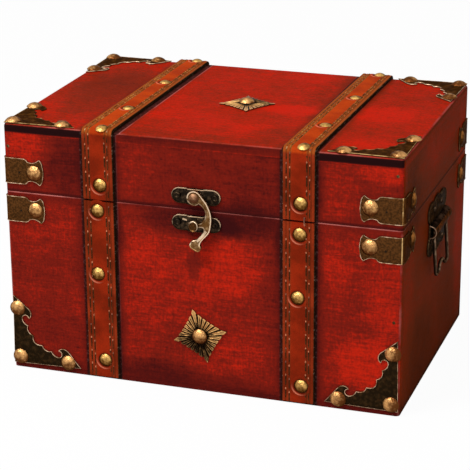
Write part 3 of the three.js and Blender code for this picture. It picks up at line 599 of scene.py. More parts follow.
bracket_leg = 54.5
bracket_edge = (
    (1, 0.022), (0.92, 0.12), (0.844, 0.212), (0.793, 0.288), (0.732, 0.281), (0.684, 0.274), (0.668, 0.242),
    (0.727, 0.228), (0.714, 0.18), (0.697, 0.139), (0.651, 0.147), (0.593, 0.158), (0.567, 0.224),
    (0.462, 0.198), (0.429, 0.297), (0.279, 0.279),
)
edge_points = scaled(bracket_edge, bracket_leg, bracket_leg)
edge_points += [(y, x) for x, y in reversed(edge_points[:-1])]
bracket = rimmed([(0, 0)] + curved(edge_points), 0.6, 0.28)
repaint(bracket, worn_bronze, lambda face: face.material_index == 1 and min(face.center.x, face.center.y) > 0.9)
smooth(bracket)
bracket_nails = [at(x, y, 1.1) for x, y in ((5.2, 5.2), (44.2, 4.4), (4.4, 44.2))]



def stand_in(piece, node, part, where, body):
    """Sets a piece on the box in place of a node of the frame, and names it after the node."""
    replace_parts(put(piece, f"{node}_{part}", where, body), node)
    return piece


front, back, left, right, top = (Vector(v) for v in ((0, -1, 0), (0, 1, 0), (-1, 0, 0), (1, 0, 0), (0, 0, 1)))


def facing(out):
    """Turns a fitting so that its Z points out of a face of the box and its Y up it."""
    upward = back if out == top else top
    return Matrix((upward.cross(out), upward, out)).transposed().to_4x4()


def on_face(out, x=0, y=0, turn=0):
    middle = at(out.x * half_width, out.y * half_depth, out.z * height)
    return middle @ facing(out) @ at(x, y) @ Matrix.Rotation(turn, 4, "Z")


inset, foot_gap = 0.7, 3.6
corners = (("front_left", -1, -1), ("front_right", 1, -1), ("back_right", 1, 1), ("back_left", -1, 1))
bracket_places = []
for quarter, (corner, x, y) in enumerate(corners):
    where = on_face(top, x * (half_width - inset), y * (half_depth - inset), quarter * math.pi / 2)
    bracket_places.append(("top_" + corner, where, "lid"))
for quarter, (side, x) in enumerate((("left", -1), ("right", 1))):
    where = on_face(front, x * (half_width - inset), foot_gap, quarter * math.pi / 2)
    bracket_places.append(("bottom_" + side, where, "base"))
for corner, where, body in bracket_places:
    plate = copied(bracket)
    if body == "base":
        plate.data.materials[0] = foot_bronze
    # On the front brackets the outer rims are paler, partly wear and partly a painted highlight, and the scalloped
    # rims are darker, as painted shade.
    elif "front" in corner:
        plate.data.materials[1], plate.data.materials[2] = rubbed_and_lit_brass, dull_rim
    stand_in(plate, f"bracket_{corner}", "plate", where, body)
    nails(f"bracket_{corner}", nail, [where @ place for place in bracket_nails], body)

# Corner wraps: strips of the same rimmed sheet, bent round the upright edges above and below the seam.
# Each end is cut like a fish's tail round its nail, and beside it a spare nail hole is drawn as a thin dark disc
# of painted shade.
wrap_leg, wrap_half = 31, 9.8
wrap_edge = (
    (0.48, 1), (0.56, 1), (0.6, 0.78), (0.7, 0.66), (0.79, 0.78), (0.84, 0.86), (0.9, 1),
    (0.98, 0.8), (0.98, 0.5), (1, 0.25), (1, 0),
)
bend_centre, bend_inside = 3, 3.2
wrap_bronze = metal("wrap_bronze", (98, 60, 28), (60, 37, 17), (0.3, 0.75), 0.46, 0.0005, 800)
bend_middle = bend_inside + 0.3
bend_half = bend_middle * math.pi / 4
tail = [(x + bend_half - bend_centre, y) for x, y in scaled(curved(wrap_edge, 4), wrap_leg, wrap_half)]
right_end = [(x, -y) for x, y in tail] + tail[-2::-1]
wrap = rimmed(right_end + [(-x, -y) for x, y in right_end], 0.6, 0.26, 0, wrap_bronze)
hole_shade = Finish("hole_shade")
hole_shade.shade(
    Base_Color=hole_shade.mix(hole_shade.noise(300), (20, 14, 8), (44, 32, 20)),
    Roughness=0.8,
    Specular_IOR_Level=0.05,
)
for side in (-1, 1):
    spare = paint(turned(dome(0.8, 0.12, rings=2), 10), hole_shade.material)
    wrap = joined([wrap, moved(spare, at(side * (12 - bend_centre + bend_half), -1, 0.6))])


def reshaped(piece, rule):
    """Moves each point of a piece to the place that rule gives for it."""
    for corner in piece.data.vertices:
        corner.co = rule(*corner.co)
    return piece


def bisected(piece, stations):
    """Cuts a piece across its length at each station, so that it can bend there."""
    picked(piece)
    bpy.ops.object.mode_set(mode="EDIT")
    for station in stations:
        bpy.ops.mesh.select_all(action="SELECT")
        bpy.ops.mesh.bisect(plane_co=(station, 0, 0), plane_no=(1, 0, 0))
    bpy.ops.object.mode_set(mode="OBJECT")


def on_fold(face):
    turn = math.degrees(math.atan2(face.center.y - bend_centre, face.center.x - bend_centre)) % 360
    return face.center.xy.length < 3 and 214 < turn < 225


def round_corner(along, up, out):
    """Bends a wrap that is flat about its middle round an upright edge."""
    angle = max(-math.pi / 4, min(math.pi / 4, along / bend_middle)) + math.radians(225)
    straight = math.copysign(max(0, abs(along) - bend_half), along)
    radius = bend_inside + out
    x = bend_centre + radius * math.cos(angle) + max(0, straight)
    return x, bend_centre + radius * math.sin(angle) + max(0, -straight), up


bisected(wrap, [bend_half * step / 4 for step in range(-4, 5)])
# The fold at the corner is paler: rubbed wear and a painted highlight along the edge.
smooth(repaint(reshaped(wrap, round_corner), rubbed_and_lit_brass, on_fold))
on_side = (half_width - 0.5) / 1000
wrap_nails = (at(23.5, -1.1) @ facing(front), at(-1.1, 23.5) @ facing(left))
for body, middle, set_off, nail_off in (
    ("lid", 155.0, (1.3, -1, 0, 0), (0.4, -0.2, 0, 0)),
    ("base", 125.6, (1.3, -0.3, 0, 0), (1.4, 0.4, 0, 0)),
):
    for quarter, (corner, x, y) in enumerate(corners):
        place = at(x * half_width, y * half_depth, middle) @ Matrix.Rotation(quarter * math.pi / 2, 4, "Z")
        node = f"wrap_{body}_{corner}"
        plate = stand_in(copied(wrap), node, "plate", at(z=set_off[quarter]) @ place, body)
        # The rims of the legs on the sides are darker: painted shade.
        repaint(plate, dull_rim, lambda face: face.material_index == 1 and abs(face.center.x) > on_side)
        nails(node, nail, [at(z=nail_off[quarter]) @ place @ spot for spot in wrap_nails], body)

# Leather straps, dyed orange-brown, with blackened cut edges and two rows of stitching along each side.
# The lid's straps bend over its edges. Nails hold them, and each nail puckers the leather round it.
strap_top = 2.7
strap_section = (
    (12, 0.2), (12, 1.9), (11.8, 2.4), (11.2, 2.64), (9.9, 2.64), (9.1, 2.4), (8.3, 2.6), (7.4, 2.6),
    (6.6, 2.4), (5.8, 2.62), (3, 2.7),
)


def on_lid(finish):
    """One on top of the lid, where the strap is paler, and zero on its upright runs."""
    return finish.fade(finish.axes()[2], 0.1890, 0.1915)


leather = Finish("strap_leather")
across = leather.node("SeparateXYZ", inputs={0: leather.node("Attribute", {"attribute_name": "flat"}, output=1)})
side_band = leather.fade(abs(across), 4.8, 5.8)
row_near = abs(abs(abs(across) - 7.8) - 1.3)
groove = leather.fade(row_near, 0.2, 0.7, 1, 0)
blotches = leather.fade(leather.noise(55, detail=4), 0.35, 0.65)
hide = leather.noise(700, detail=3)
centre = leather.mix(blotches, (118, 32, 12), (152, 41, 15))
sides = leather.mix(blotches, (112, 36, 14), (146, 50, 22))
standing = leather.mix(side_band, centre, sides)
lying = leather.mix(side_band, leather.mix(blotches, (166, 52, 14), (190, 66, 18)), (158, 74, 28))
colour = leather.mix(on_lid(leather), standing, lying)
greyed = leather.fade(leather.noise(150, (1, 1, 4), 4), 0.56, 0.7)
pucker_light = leather.node("Attribute", {"attribute_name": "pucker_light"}, output=2)
for share, stain in (
    (leather.fade(hide, 0.5, 0.75, 0, 0.3), (84, 34, 13)),
    (groove * 0.45, (64, 28, 12)),
    (leather.fade(abs(across), 11.2, 11.7), leather.mix(greyed, (40, 28, 15), (98, 80, 64))),
    # Round each nail the pucker carries painted shade next to the nail and a painted highlight on its lower ridge.
    (leather.fade(pucker_light, 0, -1), (40, 20, 8)),
    (leather.fade(pucker_light, 0, 1), (222, 126, 96)),
):
    colour = leather.mix(share, colour, stain)
leather.shade(
    Base_Color=colour,
    Roughness=leather.fade(blotches, 0, 1, 0.56, 0.62),
    Specular_IOR_Level=0.003,
    Normal=leather.bump(hide * 0.6 + leather.noise(180, detail=3) * 0.4, 0.0003),
)
thread = Finish("thread")
# On top of the lid the thread is painted paler: painted light. Its pale patches are wear.
lit = on_lid(thread)
waxed, worn_and_lit_thread = thread.mix(lit, (72, 38, 17), (116, 70, 26)), thread.mix(lit, (100, 56, 28), (196, 138, 66))
waxed = thread.mix(thread.fade(thread.noise(110, detail=3), 0.45, 0.65), waxed, worn_and_lit_thread)
thread.shade(
    Base_Color=thread.mix(thread.fade(thread.noise(500), 0.4, 0.7), waxed, (52, 30, 14)),
    Roughness=0.7,
    Specular_IOR_Level=0.03,
)
# The pale ends of the stitches are partly thread worn bare and partly a painted highlight, paler still on top of
# the lid as painted light. The loose thread takes this finish too.
thread_end = Finish("thread_end")
bare_and_glint_share = thread_end.fade(thread_end.noise(160, detail=3), 0.38, 0.6)
bare_and_glinting_end = thread_end.mix(on_lid(thread_end), (190, 112, 72), (214, 160, 92))
thread_end.shade(Base_Color=thread_end.mix(bare_and_glint_share, (96, 48, 26), bare_and_glinting_end), Roughness=0.6)

half_stitch = ((0.5, 2.8), (0.56, 3.6), (0.35, 4.2), (0, 4.3))
stitch = turned([*((radius, -along) for radius, along in reversed(half_stitch)), *half_stitch], 6)
reshaped(stitch, lambda x, y, z: (x, z, 0.8 * y - 0.35 * abs(z / 4.3) ** 3))
# The ends of each stitch take that pale finish.
repaint(paint(stitch, thread.material), thread_end.material, lambda face: face.center.y > 3.1)
# Each ring of the pucker: its reach, its rise and its painted light, shade below zero and a highlight above.
ripple = (
    (4.6, 0.02, -0.9), (5.3, 0.04, -0.7), (5.8, 0.12, -0.15), (6.4, 0.22, 0.5), (7.1, 0.2, 0.8), (7.8, 0.06, 0),
    (8.4, -0.3, 0),
)
pucker = paint(turned([(radius, rise) for radius, rise, mark in ripple], 32), leather.material)


def pucker_shade_and_highlight(x, y, z):
    """Painted shade close to the nail, and a painted highlight on the ridge below it and a little to its left."""
    mark = next(value for reach, rise, value in ripple if abs(reach - math.hypot(x, y)) < 0.05)
    return mark * max(0, math.cos(math.atan2(y, x) + math.radians(125))) ** 2 if mark > 0 else mark


marked(pucker, pucker_shade_and_highlight, "pucker_light")
edge_stud = 101


def strap(stations, studs, bend):
    """A sewn strap: its section is drawn out flat from station to station, then bent to its place."""
    section = [*strap_section, *((-x, z) for x, z in reversed(strap_section))]
    piece = laid([(x, stations[0], z) for x, z in section], "NGON")
    bpy.ops.object.mode_set(mode="EDIT")
    bpy.ops.mesh.select_all(action="SELECT")
    for start, stop in zip(stations, stations[1:]):
        bpy.ops.mesh.extrude_region_move(TRANSFORM_OT_translate={"value": (0, stop - start, 0)})
    bpy.ops.mesh.select_all(action="SELECT")
    bpy.ops.mesh.normals_make_consistent(inside=False)
    bpy.ops.object.mode_set(mode="OBJECT")
    parts = [paint(piece, leather.material)]
    for x, y in studs:
        if y != -edge_stud:
            parts.append(moved(copied(pucker), at(x, y, strap_top)))
    pitch, first, last = 10.4, stations[0] + 6.5, stations[-1] - 6.5
    for row, shift in ((-9.1, 0), (-6.5, -2.8), (5.7, 1.9), (7.9, -0.3)):
        spot = first + shift
        while spot <= last:
            parts.append(moved(copied(stitch), at(row, spot, 2.62)))
            spot += pitch
    piece = joined(parts)
    flat = piece.data.attributes.new("flat", "FLOAT_VECTOR", "POINT")
    for corner, mark in zip(piece.data.vertices, flat.data):
        mark.vector = corner.co
    return smooth(reshaped(piece, bend))


over_top, over_edge, edge_round, strap_end = 100.9, 4.8, 1.6, 141.1
fold = over_top + over_edge + height - edge_round


def over_lid(across, along, out):
    """Bends a strap that is flat about the lid's middle down over the front and back edges."""
    past = min(max(abs(along) - over_top, 0), over_edge)
    angle = past / over_edge * math.pi / 2
    side = min(abs(along), over_top) + (edge_round + out) * math.sin(angle)
    up = height - edge_round + (edge_round + out) * math.cos(angle) - max(0, abs(along) - over_top - over_edge)
    return across, math.copysign(side, along), up


half_run = [over_top + over_edge * step / 6 for step in range(7)] + [fold - strap_end]
lid_studs = {
    "left": ((1.6, 152.2), (2.9, -edge_stud), (1.9, -47.1), (1.9, 29.7), (2.9, 99.9), (0, 152.6)),
    "right": ((1.4, 153.4), (2.6, -edge_stud), (1.8, -47.1), (2.4, 29.7), (2.2, 99.9), (0, 152.6)),
}
base_studs = {
    "front_left": ((1.6, 15.6), (-2, 83.7), (-0.8, 132.6)),
    "front_right": ((2.4, 15), (-0.4, 82.9), (1, 130.5)),
    "back_left": ((0, 15.8), (0, 82.9), (0, 131.1)),
    "back_right": ((0, 15.8), (0, 82.9), (0, 131.1)),
}


def leaning(x, y, side):
    """The right strap doesn't cross the lid quite square: it runs off a little to the right at the back."""
    return x + (1.1 + 1.1 * max(-1, min(1, y / half_depth)) if side == "right" else 0)


for side, x in (("left", -strap_x), ("right", strap_x)):
    (front_x, front_up), *on_top, (back_x, back_up) = lid_studs[side]
    flat_studs = [(front_x, front_up - fold)] + on_top + [(back_x, fold - back_up)]
    lid_strap = strap([-station for station in reversed(half_run)] + half_run, flat_studs, over_lid)
    reshaped(lid_strap, lambda across, y, z: (leaning(x + across, y, side), y, z))
    stand_in(lid_strap, "lid_strap_" + side, "leather", Matrix(), "lid")
    spots = [on_face(top, leaning(x + nail_x, y, side), y) for nail_x, y in on_top]
    spots += [on_face(front, x + front_x, front_up), on_face(back, -leaning(x, half_depth, side), back_up)]
    spots = [spot @ at(z=strap_top) for spot in spots]
    spots[0] = spots[0] @ at(z=-0.5) @ Matrix.Rotation(math.radians(12), 4, "X")
    spots[1:4] = [spot @ at(z=-0.7) for spot in spots[1:4]]
    nails("lid_strap_" + side, strap_nail, spots, "lid")
    for face, out, sign in (("front", front, 1), ("back", back, -1)):
        node, studs = f"base_strap_{face}_{side}", base_studs[f"{face}_{side}"]
        base_strap = strap((2, 30, 60, 90, 120, 139.6), studs, lambda *place: place)
        stand_in(base_strap, node, "leather", on_face(out, sign * x), "base")
        spots = [on_face(out, sign * x + nail_x, up) @ at(z=strap_top) for nail_x, up in studs]
        nails(node, strap_nail, spots, "base")
loose = wired([(80.1, 144.2, 3.4), (79.9, 141, 3.6), (80.2, 137.8, 3.3)], 0.62, closed=False, sides=2)
put(paint(loose, thread_end.material), "lid_strap_right_thread", on_face(front), "lid")

# Star rosettes pressed from thin brass: looped leaves round a domed nail, long at the four points.
# The loops are polished pale and the hollows between them are left dark. The leaves also carry painted light,
# lighter toward the upper right and darker toward the lower left.
rosette_brass = Finish("rosette_brass")
relief_and_light = rosette_brass.node("Attribute", {"attribute_name": "relief_and_light"}, output=2)
polish_and_light = rosette_brass.fade(relief_and_light + (rosette_brass.noise(400, detail=3) - 0.5) * 0.7, 0.2, 1)
rosette_brass.shade(
    Base_Color=rosette_brass.mix(polish_and_light, (26, 16, 8), (222, 168, 104)),
    Metallic=1.0,
    Roughness=rosette_brass.fade(polish_and_light, 0, 1, 0.55, 0.4),
    Normal=rosette_brass.bump(rosette_brass.noise(700), 0.0002),
)


def rosette(radius=21, leaves=24, steps=12):
    """A disc drawn in to four points and notched between its leaves, each of which is a raised loop."""
    shares = (0.18, 0.3, 0.4, 0.5, 0.6, 0.7, 0.78, 0.86, 0.91, 0.96, 1.0)
    underside = [(radius, 0.2), (radius * shares[0], 0.2)]
    piece = turned([(radius * share, 1) for share in shares] + underside, leaves * steps)
    light_marks = piece.data.attributes.new("relief_and_light", "FLOAT", "POINT")
    for corner, mark in zip(piece.data.vertices, light_marks.data):
        x, y, z = corner.co
        share, angle = math.hypot(x, y) / radius, math.atan2(y, x)
        spread = abs(math.cos(angle)) + abs(math.sin(angle))
        phase = abs((angle * leaves / (2 * math.pi) + 0.5) % 1 - 0.5) * 2
        rim = radius * spread ** -1.15 * (1 - 0.11 * phase ** 4) * (1 - 0.05 * min(1, (spread - 1) / 0.12))
        point = max(0, 1.02 - spread) / 0.02
        loop = (0.4 + 0.6 * math.sin(math.pi * min(phase, 0.5)) ** 2) * min(1, max(0, (0.8 - phase) / 0.3))
        loop = max(loop, min(1, max(0, (share - 0.88) / 0.1)) * (phase < 0.7))
        if z > 0.5:
            # Painted light: the leaves toward the upper right are lighter and those toward the lower left darker.
            lit = loop * (0.62 + 0.26 * math.sin(angle + 0.6)) + 0.45 * point * share
            mark.value = lit * min(1.2, max(0.1, (share - 0.27) / 0.27))
            z = 0.75 + 0.5 * (1 - share) + 0.75 * loop * (share > 0.3) * (1 - 0.5 * max(0, share - 0.8) / 0.2)
        corner.co = (rim * share * math.cos(angle), rim * share * math.sin(angle), z)
    return smooth(paint(piece, rosette_brass.material), 60)


star_nail = domed_nail(5.8, 3.2)
# The top rosette is turned half round from the front one, so that the painted light of its leaves and nail falls
# toward the front.
for name, where, body in (
    ("front", on_face(front, 0.6, 43.6, math.radians(15.5)), "base"),
    ("top", on_face(top, 4.3, -3.2, math.radians(195.5)), "lid"),
):
    stand_in(rosette(), f"rosette_{name}", "leaves", where, body)
    stand_in(copied(star_nail), f"rosette_nail_{name}", "dome", where @ at(z=2.4), body)

# The latch has two cast plates with raised rims and a block in the middle of each, held by small screws.
# A flat horn swings on a coppery rivet and passes its claw under the lower plate's mushroom pin.
latch_x, pivot, drop_to_pin = -1, 150.5, 20.3
dark_cast = metal("dark_cast", (72, 56, 40), (32, 25, 19), rough=0.42)
hook_brown = metal("hook_brown", (186, 152, 108), (100, 66, 32), (0.45, 1.1), 0.45, 0.0004, 300, 0.4, True)
hook_pale = metal("hook_pale", (232, 204, 170), (104, 72, 40), (0.4, 1.1), 0.34, 0.0003, 260, 0.6, True)
copper = metal("copper", (184, 138, 104), (96, 60, 38), (0.4, 1), 0.6, 0.0006, 300, 0.5, True)
cast_rim = metal("cast_rim", (208, 176, 142), (44, 34, 22), (0.5, 1.15), 0.36, 0.0003, 300, 0.5, True)


def arced(radius, start, stop, steps, x=0, y=0):
    angles = [math.radians(start + (stop - start) * step / steps) for step in range(steps + 1)]
    return [(x + radius * math.cos(angle), y + radius * math.sin(angle)) for angle in angles]


def latch_plate(radius=5.9, length=37.2, block_foot=7.4, block_top=5.6, block_rise=1.6):
    half = length / 2 - radius
    outline = arced(radius, -90, 90, 14, half) + arced(radius, 90, 270, 14, -half)
    plate = paint(thickened(outline, 0.8, 0.1), dark_cast)
    rim = paint(wired([(x, y, 1.0) for x, y in drawn_in(outline, 0.4)], 0.42), cast_rim)
    # The rim is painted lighter along its top and round its right end, and darker below: painted light.
    marked(rim, lambda x, y, z: 0.45 + 0.45 * y / radius + 0.15 * (x > half))
    piece = joined([plate, rim])
    bisected(piece, (-block_foot, -block_top, block_top, block_foot))
    for corner in piece.data.vertices:
        if corner.co.z > 0.3:
            share = (block_foot - abs(corner.co.x)) / (block_foot - block_top)
            corner.co.z += block_rise * min(1, max(0, share))
    return smooth(piece)


screw_profile = ((0, 0), (2.6, 0), (2.5, 0.5), (2.0, 0.95), (1.3, 1.05), (0.95, 0.7), (0.5, 0.5), (0, 0.5))
latch_screw = paint(turned(screw_profile, 20), dark_cast)
# Short bright bars on each plate stand for glints on the flanks of its block: painted highlights in metal.
latch_glint_bars = {
    "upper": [((4.2, 3.6, 2.5), (6.4, 5.4, 1.9), 0.5)],
    "lower": [((-10.2, 2.9, 1.2), (-5.2, 0.6, 2.7), 0.8), ((1.8, 4.4, 2.5), (4.8, 3.0, 2.5), 0.45)],
}
for name, up, body in (("upper", pivot, "lid"), ("lower", pivot - drop_to_pin, "base")):
    where = on_face(front, latch_x, up)
    plate = [latch_plate()]
    for start, stop, thick in latch_glint_bars[name]:
        glint_bar = paint(wired([start, stop], thick, closed=False, sides=2), cast_rim)
        plate.append(marked(glint_bar, 0.8))
    stand_in(joined(plate), f"latch_plate_{name}", "cast", where, body)
    for side, x in (("left", -14.2), ("right", 14.2)):
        node = f"latch_screw_{name}_{side}"
        stand_in(copied(latch_screw), node, "head", where @ at(x, z=1.3), body)


def splined(points, steps=6):
    """A smooth line through points, like a bent batten."""
    line = [points[0]]
    for i in range(len(points) - 1):
        p0, p1, p2, p3 = (Vector(points[max(0, min(len(points) - 1, j))]) for j in (i - 1, i, i + 1, i + 2))
        for step in range(1, steps + 1):
            t = step / steps
            bent = 2 * p1 + (p2 - p0) * t + (2 * p0 - 5 * p1 + 4 * p2 - p3) * t ** 2
            line.append(tuple((bent + (3 * (p1 - p2) + p3 - p0) * t ** 3) / 2))
    return line


hook_reach, hook_back, tip_rise = 37, 3.1, 3.15
throat = scaled(((0.208, -0.205), (0.23, -0.32), (0.195, -0.432), (0.12, -0.497)), hook_reach, hook_reach)
horn = (
    (0.18, -0.59), (0.188, -0.65), (0.138, -0.73), (0.08, -0.8), (0.025, -0.835), (-0.045, -0.856),
    (-0.082, -0.915), (-0.074, -0.965), (-0.02, -1.005), (0.06, -1.035), (0.105, -1.043), (0.14, -1.02),
    (0.152, -0.97), (0.128, -0.92), (0.138, -0.875), (0.188, -0.805), (0.254, -0.735), (0.314, -0.64),
    (0.347, -0.45), (0.336, -0.27), (0.257, -0.08),
)
eye = arced(5.4, 40, 315, 24)
claw_in = arced(1.6, 30, -105, 8, 0, -drop_to_pin)
claw_out = arced(3.4, -112, -20, 7, 0, -drop_to_pin)
bow = splined([claw_out[-1]] + scaled(horn, hook_reach, hook_reach), 5)
hook_line = eye[:-1] + splined([eye[-1]] + throat, 5) + claw_in + claw_out[:-1] + bow
hook_body = paint(thickened(hook_line, 2.2, 0.2, 0), hook_brown)
marked(hook_body, lambda x, y, z: 0.5 if y < -31.5 else 0.3)


def hook_glint(x, y, z):
    """The rim gets a painted highlight over the eye and down the outside of the bow, and fades toward the bottom
    of the tail.
    """
    eye_top_end, throat_end, bow_start, tail_top = 13, 60, len(hook_line) - 42, -33
    nearest = min(range(len(hook_line)), key=lambda i: (hook_line[i][0] - x) ** 2 + (hook_line[i][1] - y) ** 2)
    if y < tail_top:
        return 0.35 + 0.1 * (y + 38)
    if nearest < eye_top_end or nearest > bow_start:
        return 0.9
    return 0.5 if nearest > throat_end else 0.3


hook_rim = paint(wired([(x, y, 2.2) for x, y in drawn_in(hook_line, 0.5)], 0.55, sides=2), hook_pale)
neck_line = [(9.0, -23.5, 2.0), (7.0, -26.6, 2.1), (4.6, -29.4, 2.1), (2.6, -31.6, 1.9)]
neck = paint(wired(neck_line, 1.25, closed=False, sides=2), hook_pale)
hook = joined([hook_body, marked(hook_rim, hook_glint), marked(neck, 0.75)])
reshaped(hook, lambda x, y, z: (x, y, z + (hook_back + tip_rise * max(0, (-y / hook_reach - 0.66) / 0.34) ** 2)))
smooth(repaint(hook, hook_brown, lambda face: face.center.y < -34.5))
where = on_face(front, latch_x, pivot)
stand_in(hook, "latch_hook", "horn", where, "latch_hook")
rivet = paint(turned([(0, 0.2), (2, 0.2), (2, 6.2)] + dome(3.6, 1.8, 6.2)[1:]), copper)
# The rivet is painted lighter toward its upper side: painted light.
marked(rivet, lambda x, y, z: 0.3 + 0.1 * y)
stand_in(rivet, "latch_rivet", "head", where, "lid")
cup_profile = (
    (0, 0.2), (1.3, 0.2), (1.3, 6.2), (3.0, 6.2), (3.7, 6.6), (4.0, 7.3), (3.8, 8.0), (3.4, 8.25), (3.0, 8.0),
    (2.6, 7.3), (1.4, 6.9), (0, 6.8),
)
pin = paint(turned(cup_profile, 32), hook_pale)
reshaped(pin, lambda x, y, z: (x * 0.88, y * 1.08, z) if z > 6.1 else (x, y, z))
# The pin is painted lighter toward its upper right: a painted highlight.
marked(pin, lambda x, y, z: 0.45 + 0.12 * y + 0.08 * x)
repaint(pin, wrap_bronze, lambda face: face.center.xy.length < 3.1 and face.center.z > 6.5)
stand_in(pin, "catch_pin", "cup", on_face(front, latch_x, pivot - drop_to_pin), "base")

# Handles: a lobed sheet plate, a half-round barrel with a slot for each leg, and a wire bail.
# The bail's ends turn in under the barrel, so it swings up from where it leans against the side.
plate_edge = (
    (0, 1), (0.22, 1.02), (0.34, 0.86), (0.5, 1), (0.72, 0.94), (1, 0.88), (1, 0.62), (1, 0.38), (0.87, 0.28),
    (0.84, 0.14), (0.84, 0),
)
quarter_line = curved(scaled(plate_edge, 28.5, 21.5), 5)
upper_line = [(-x, y) for x, y in reversed(quarter_line[1:])] + quarter_line
plate_line = [(x, -y) for x, y in upper_line] + upper_line[-2:0:-1]
handle_dark = metal("handle_dark", (88, 66, 44), (52, 38, 25), rough=0.45)
handle_grey = metal("handle_grey", (160, 128, 102), (50, 37, 27), (0.45, 1.1), 0.42, 0.0003, 300, wear_and_light=True)
handle_brown = metal("handle_brown", (112, 66, 34), (70, 46, 26), rough=0.5)
lit_barrel_grey = metal("lit_barrel_grey", (84, 70, 60), (50, 40, 33), rough=0.34, dents=0.00008, grain=160)
handle_plate = paint(rimmed(plate_line, 0.95, 0.3), handle_dark, handle_grey)
# The rim is painted lighter toward the plate's left end: painted light.
marked(handle_plate, lambda x, y, z: 0.35 - 0.012 * x)
barrel_radius, barrel_half, barrel_foot, leg, slot_half, slot_top = 5.25, 25, 1.4, 19.5, 1.55, 2.15


def barrel():
    """Half a tube over the plate, with the slots' faces taken out before the wall gets its thickness."""
    half_stops = [8, leg - slot_half, leg + slot_half, barrel_half]
    stops = [-stop for stop in reversed(half_stops)] + half_stops
    bpy.ops.object.select_all(action="DESELECT")
    bpy.ops.mesh.primitive_grid_add(x_subdivisions=len(stops) - 1, y_subdivisions=20, size=2)
    piece = bpy.context.object
    reshaped(piece, lambda x, y, z: (
        stops[round((x + 1) / 2 * (len(stops) - 1))],
        barrel_radius * math.cos(math.pi * (1 - (y + 1) / 2)),
        barrel_radius * math.sin(math.pi * (1 - (y + 1) / 2)),
    ))
    cleared(piece, "FACE", lambda face: abs(abs(face.center.x) - leg) < slot_half and face.center.y < slot_top)
    paint(walled(piece, thickness=1.5, bevel=0.2, segments=1, angle=30, lift=barrel_foot), handle_dark)
    # The upper half of the barrel takes a lighter grey: painted light on its top.
    repaint(piece, lit_barrel_grey, lambda face: face.center.y > 0)
    repaint(piece, handle_brown, lambda face: (
        face.center.z > barrel_foot + barrel_radius * 0.45 and face.center.y < barrel_radius * 0.6
    ))
    return marked(piece, 0.25)


barrel_ends = []
for side in (-1, 1):
    arch = [(side * (barrel_half - 0.4), y, z + barrel_foot) for y, z in arced(barrel_radius - 0.6, 0, 180, 16)]
    barrel_ends.append(marked(paint(wired(arch, 0.6, closed=False), handle_grey), 0.7))
screw_profile = ((0, 0), (2.3, 0), (2.2, 0.5), (1.7, 0.95), (0.9, 1.1), (0.5, 0.8), (0, 0.7))
plate_screw = paint(turned(screw_profile, 20), handle_grey)
# Each screw is painted lighter toward its upper side: painted light.
marked(plate_screw, lambda x, y, z: 0.1 + 0.15 * y)
screw_places = ((-11, 13.2), (11, 13.2), (-15.4, -15.6), (15.4, -15.6))
screws = [moved(copied(plate_screw), at(x, y, 1.4)) for x, y in screw_places]
handle_plate = smooth(joined([handle_plate, barrel()] + barrel_ends + screws))


def rounded(corners):
    """A route of straight runs with rounded corners."""
    route = []
    for i, (x, y, radius) in enumerate(corners):
        here = Vector((x, y))
        if radius:
            before, after = (Vector(corners[j][:2]) - here for j in (i - 1, i + 1))
            route += curved([here + before.normalized() * radius, here, here + after.normalized() * radius])
        else:
            route.append(here)
    return route


bail_drop, bail_wire, bump, bail_axis, tilt = 35, 1.25, 5.5, 2.95, math.radians(4)
bail_half = [
    (4.75, bail_drop - bump, 3.4), (9.5, bail_drop, 3.4), (leg, bail_drop, 3.4), (leg, 0, 2), (leg - 7, 0, 0),
]
bail_corners = [(-x, y, radius) for x, y, radius in reversed(bail_half)] + bail_half
bail_route = [(x, -y * math.cos(tilt), bail_axis + y * math.sin(tilt)) for x, y in rounded(bail_corners)]
bail = smooth(paint(wired(bail_route, bail_wire, closed=False, sides=3), handle_grey))
# The bail is painted lighter along its outer side: a painted highlight.
marked(bail, lambda x, y, z: 0.1 + 0.4 * (z - bail_axis + y * math.tan(tilt)) / bail_wire)
for side, out in (("left", left), ("right", right)):
    where = on_face(out, 0, 113)
    stand_in(copied(handle_plate), "handle_plate_" + side, "barrel", where, "base")
    stand_in(copied(bail), "handle_bail_" + side, "wire", where, side + "_bail")

# Two butt hinges on the back: leaves of dark bronzed sheet with rolled knuckles, tacked to the wood.
# A headed pin runs through the knuckles of each pair of leaves.
hinge_half, axis_out = 17, 2.4
along_hinge = at(z=axis_out) @ Matrix.Rotation(math.pi / 2, 4, "Y")
tack = paint(turned(dome(2, 1.1), 20), worn_bronze)


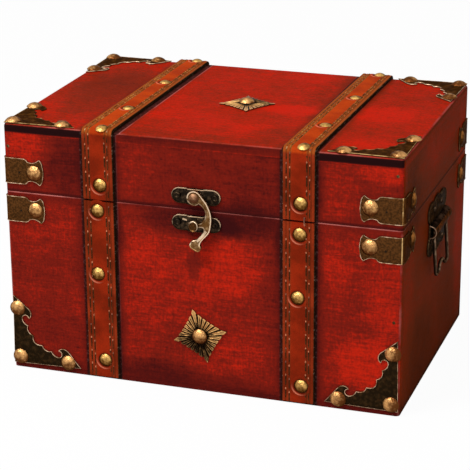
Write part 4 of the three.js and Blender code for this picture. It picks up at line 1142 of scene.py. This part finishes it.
def hinge_leaf(fingers):
    """A leaf that lies above its pin, with a knuckle at each of its fingers."""
    foot = []
    for start, stop in fingers:
        foot += [(start, 2.5), (start, 0.6), (stop, 0.6), (stop, 2.5)]
    if fingers[0][0] == -hinge_half:
        foot = foot[1:-1]
    else:
        foot = [(-hinge_half, 2.5)] + foot + [(hinge_half, 2.5)]
    outline = foot + arced(3, 0, 90, 6, hinge_half - 3, 12) + arced(3, 90, 180, 6, 3 - hinge_half, 12)
    parts = [paint(thickened(outline, 1, 0.15), dark_bronze)]
    for start, stop in fingers:
        ring = [(1.3, start), (2.0, start), (2.2, start + 0.3), (2.2, stop - 0.3), (2.0, stop), (1.3, stop)]
        parts.append(moved(paint(turned(ring), dark_bronze), along_hinge))
    for x in (-12, 12):
        parts.append(moved(copied(tack), at(x, 9.6, 1.2)))
    return smooth(joined(parts))


lid_leaf = hinge_leaf([(-5.52, 5.52)])
base_leaf = moved(hinge_leaf([(-hinge_half, -5.82), (5.82, hinge_half)]), Matrix.Rotation(math.pi, 4, "Z"))
pin_end = hinge_half + 0.3
head = [(0, -pin_end - 0.9), (1.3, -pin_end - 0.9), (1.9, -pin_end - 0.4), (1.9, -pin_end), (1, -pin_end)]
hinge_pin = paint(turned(head + [(radius, -along) for radius, along in reversed(head)]), worn_bronze)
moved(hinge_pin, along_hinge)
for side, x in (("left", 38), ("right", -38)):
    for pattern, node, part, body in (
        (lid_leaf, "hinge_leaf_lid_", "sheet", "lid"),
        (base_leaf, "hinge_leaf_base_", "sheet", "base"),
        (hinge_pin, "hinge_pin_", "rod", "base"),
    ):
        stand_in(copied(pattern), node + side, part, on_face(back, x, seam), body)

# Small round brads pin the front board to the sides, two in the lid and one in the base.
# They are driven flush, and their heads have dulled.
for name, x, up in (("lid_left", -146.7, 174.5), ("lid_right", 145.3, 179.2), ("base", 144.7, 71.5)):
    brad = paint(turned(dome(1.2, 0.4, rings=3), 12), dull_rim)
    put(brad, "brad_" + name, on_face(front, x, up), name.split("_")[0])

# The pieces that were only copied from are taken away.
for pattern in (
    nail, strap_nail, star_nail, bracket, wrap, stitch, pucker, latch_screw, plate_screw, handle_plate, bail, tack,
    lid_leaf, base_leaf, hinge_pin,
):
    bpy.data.objects.remove(pattern)
